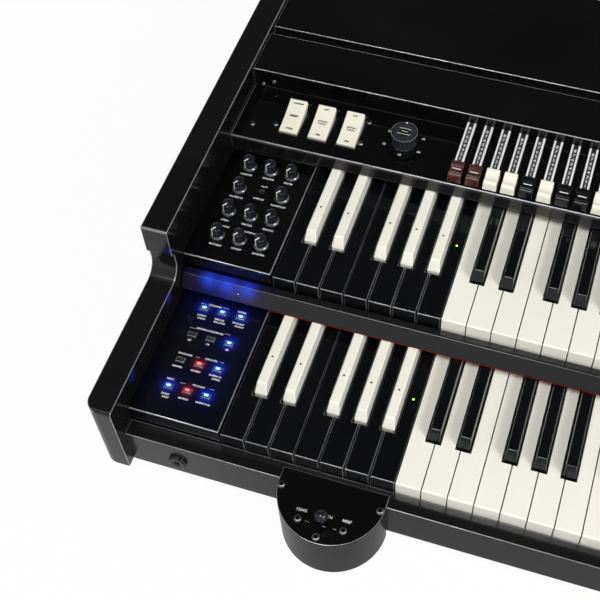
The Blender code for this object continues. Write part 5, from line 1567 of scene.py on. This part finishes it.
# Plain numerals and rules where the panels carry words
labelLook = {
    "knobs": (
        (12.0, -65.9, 257.1), (12.0, -42.7, 257.8), (9.0, -21.6, 257.7), (14.0, -65.2, 227.2),
        (15.0, -21.4, 227.7), (8.0, -65.1, 197.1), (11.0, -43.0, 197.5), (11.0, -20.9, 197.5),
        (12.8, -63.7, 166.8), (10.0, -42.5, 167.6), (12.4, -20.1, 167.5), (7.5, -61.5, 189.8),
        (14.0, -36.4, 189.4), (6.0, -42.6, 247.2), (11.0, -43.0, 231.1)),
    "buttons": (
        (12.7, -53.4, 126.5), (-6.0, -64.5, 126.0), (-6.0, -42.0, 127.2), (8.6, -25.7, 127.0),
        (9.0, -61.8, 112.9), (8.0, -60.8, 109.5), (10.0, -43.8, 112.9), (11.5, -42.5, 109.7),
        (12.0, -24.6, 114.0), (9.0, -22.8, 110.8), (-6.0, -64.8, 97.2), (27.0, -47.6, 98.4),
        (-6.0, -30.2, 99.8), (3.4, -62.6, 83.7), (3.4, -44.4, 84.0), (3.4, -24.7, 83.5),
        (14.0, -60.5, 68.0), (-4.0, -48.0, 68.3), (12.0, -34.8, 68.9), (-4.0, -24.0, 69.3),
        (10.0, -62.9, 53.5), (10.0, -44.3, 53.5), (12.0, -24.9, 53.8), (8.0, -22.7, 50.4),
        (7.5, -63.5, 39.3), (-5.0, -50.7, 38.3), (12.0, -35.4, 39.2), (-5.0, -22.3, 39.6),
        (8.0, -62.2, 23.4), (7.0, -61.0, 20.2), (10.0, -44.4, 23.1), (14.0, -25.3, 23.5)),
}
printedRows("knob_figures", labelLook["knobs"], sheetLook["upper"]["top"], 1.9, printFinish)
printedRows("button_figures", labelLook["buttons"], sheetLook["lower"]["top"], 1.8, printFinish)
print("organ: small parts made")

# Stage: pale floor, soft lamps in front, dimmer light from above and behind
stageLook = {
    "white": (1.0, 1.0, 1.0), "floorReach": 9.0,
    "floorGlow": 0.95, "floorTone": (0.86, 0.86, 0.86),
    # the floor as seen in reflections: dimmer, and darker towards the right, as painted shade
    "mirrorLeft": 0.58, "mirrorRight": 0.36, "leftEnd": -0.56, "rightEnd": -0.41,
    "horizon": 0.70, "dome": 0.055, "frontDome": 0.46, "bandLow": 0.15, "bandHigh": 0.50,
    "lamps": {  # place, target, size, power
        "frontSoftbox": ((-0.65, -1.02, 2.6), (0.0, 0.0, 0.1), (1.2, 0.8), 40.0),
        "rightSoftbox": ((1.9, -0.9, 1.75), (-0.2, 0.0, 0.1), (1.3, 1.1), 50.0),
        "rearSoftbox": ((-1.2, 2.6, 0.7), (0.0, 0.0, 0.1), (1.8, 0.6), 8.0)},
}


def makeFloor(look):
    shape = bmesh.new()
    reach = (-look["floorReach"], look["floorReach"])
    shape.faces.new([shape.verts.new((x, y, 0.0)) for x, y in rectangle(reach, reach)])
    sheet = Sheet("floorPale")
    ray = sheet.node("ShaderNodeLightPath")
    outputs = ray.socket.node.outputs
    seen = Wire(sheet, outputs["Is Camera Ray"]) * look["floorGlow"]
    mirrored = Wire(sheet, outputs["Is Glossy Ray"])
    x = sheet.parts()[0]
    # in reflections the floor is dimmer and darker towards the right: painted shade
    mirror = x.clamped(look["leftEnd"], look["rightEnd"], look["mirrorLeft"], look["mirrorRight"])
    matte = sheet.node("ShaderNodeBsdfDiffuse", {}, {"Color": look["floorTone"]})
    glow = sheet.node("ShaderNodeEmission", {}, {
        "Color": look["white"], "Strength": 1.0 - mirrored * (1.0 - mirror)})
    mixed = sheet.node("ShaderNodeMixShader", {}, {0: (seen + mirrored).clamped(0.0, 1.0), 1: matte, 2: glow})
    sheet.node("ShaderNodeOutputMaterial", {}, {"Surface": mixed})
    pieceFrom(shape, "stage_floor", [sheet.material])


def makeWorld(look):
    world = bpy.data.worlds.new("studio")
    bpy.context.scene.world = world
    world.use_nodes = True
    sheet = Sheet("studio", world.node_tree)
    x, y, z = sheet.parts(sheet.node("ShaderNodeTexCoord", output="Generated"))
    band = z.clamped(look["bandLow"], look["bandHigh"], 1.0, 0.0)  # bright round the horizon, dim overhead
    dome = y.clamped(-0.7, 0.1, look["frontDome"], look["dome"])
    level = dome + band * (look["horizon"] - dome)
    soft = sheet.node("ShaderNodeBackground", {}, {"Color": look["white"], "Strength": level})
    backdrop = sheet.node("ShaderNodeBackground", {}, {"Color": look["white"], "Strength": 1.0})
    ray = sheet.node("ShaderNodeLightPath", output="Is Camera Ray")
    mixed = sheet.node("ShaderNodeMixShader", {}, {0: ray, 1: soft, 2: backdrop})
    sheet.node("ShaderNodeOutputWorld", {}, {"Surface": mixed})


def makeLamp(name, place, target, size, power):
    data = bpy.data.lights.new(name, "AREA")
    data.shape = "RECTANGLE"
    data.size, data.size_y = size
    data.energy = power
    lamp = link(bpy.data.objects.new(name, data))
    lamp.location = place
    lamp.rotation_euler = (Vector(target) - Vector(place)).to_track_quat("-Z", "Y").to_euler()


makeFloor(stageLook)
makeWorld(stageLook)
for name, settings in stageLook["lamps"].items():
    makeLamp(name, *settings)
print("organ: stage set")
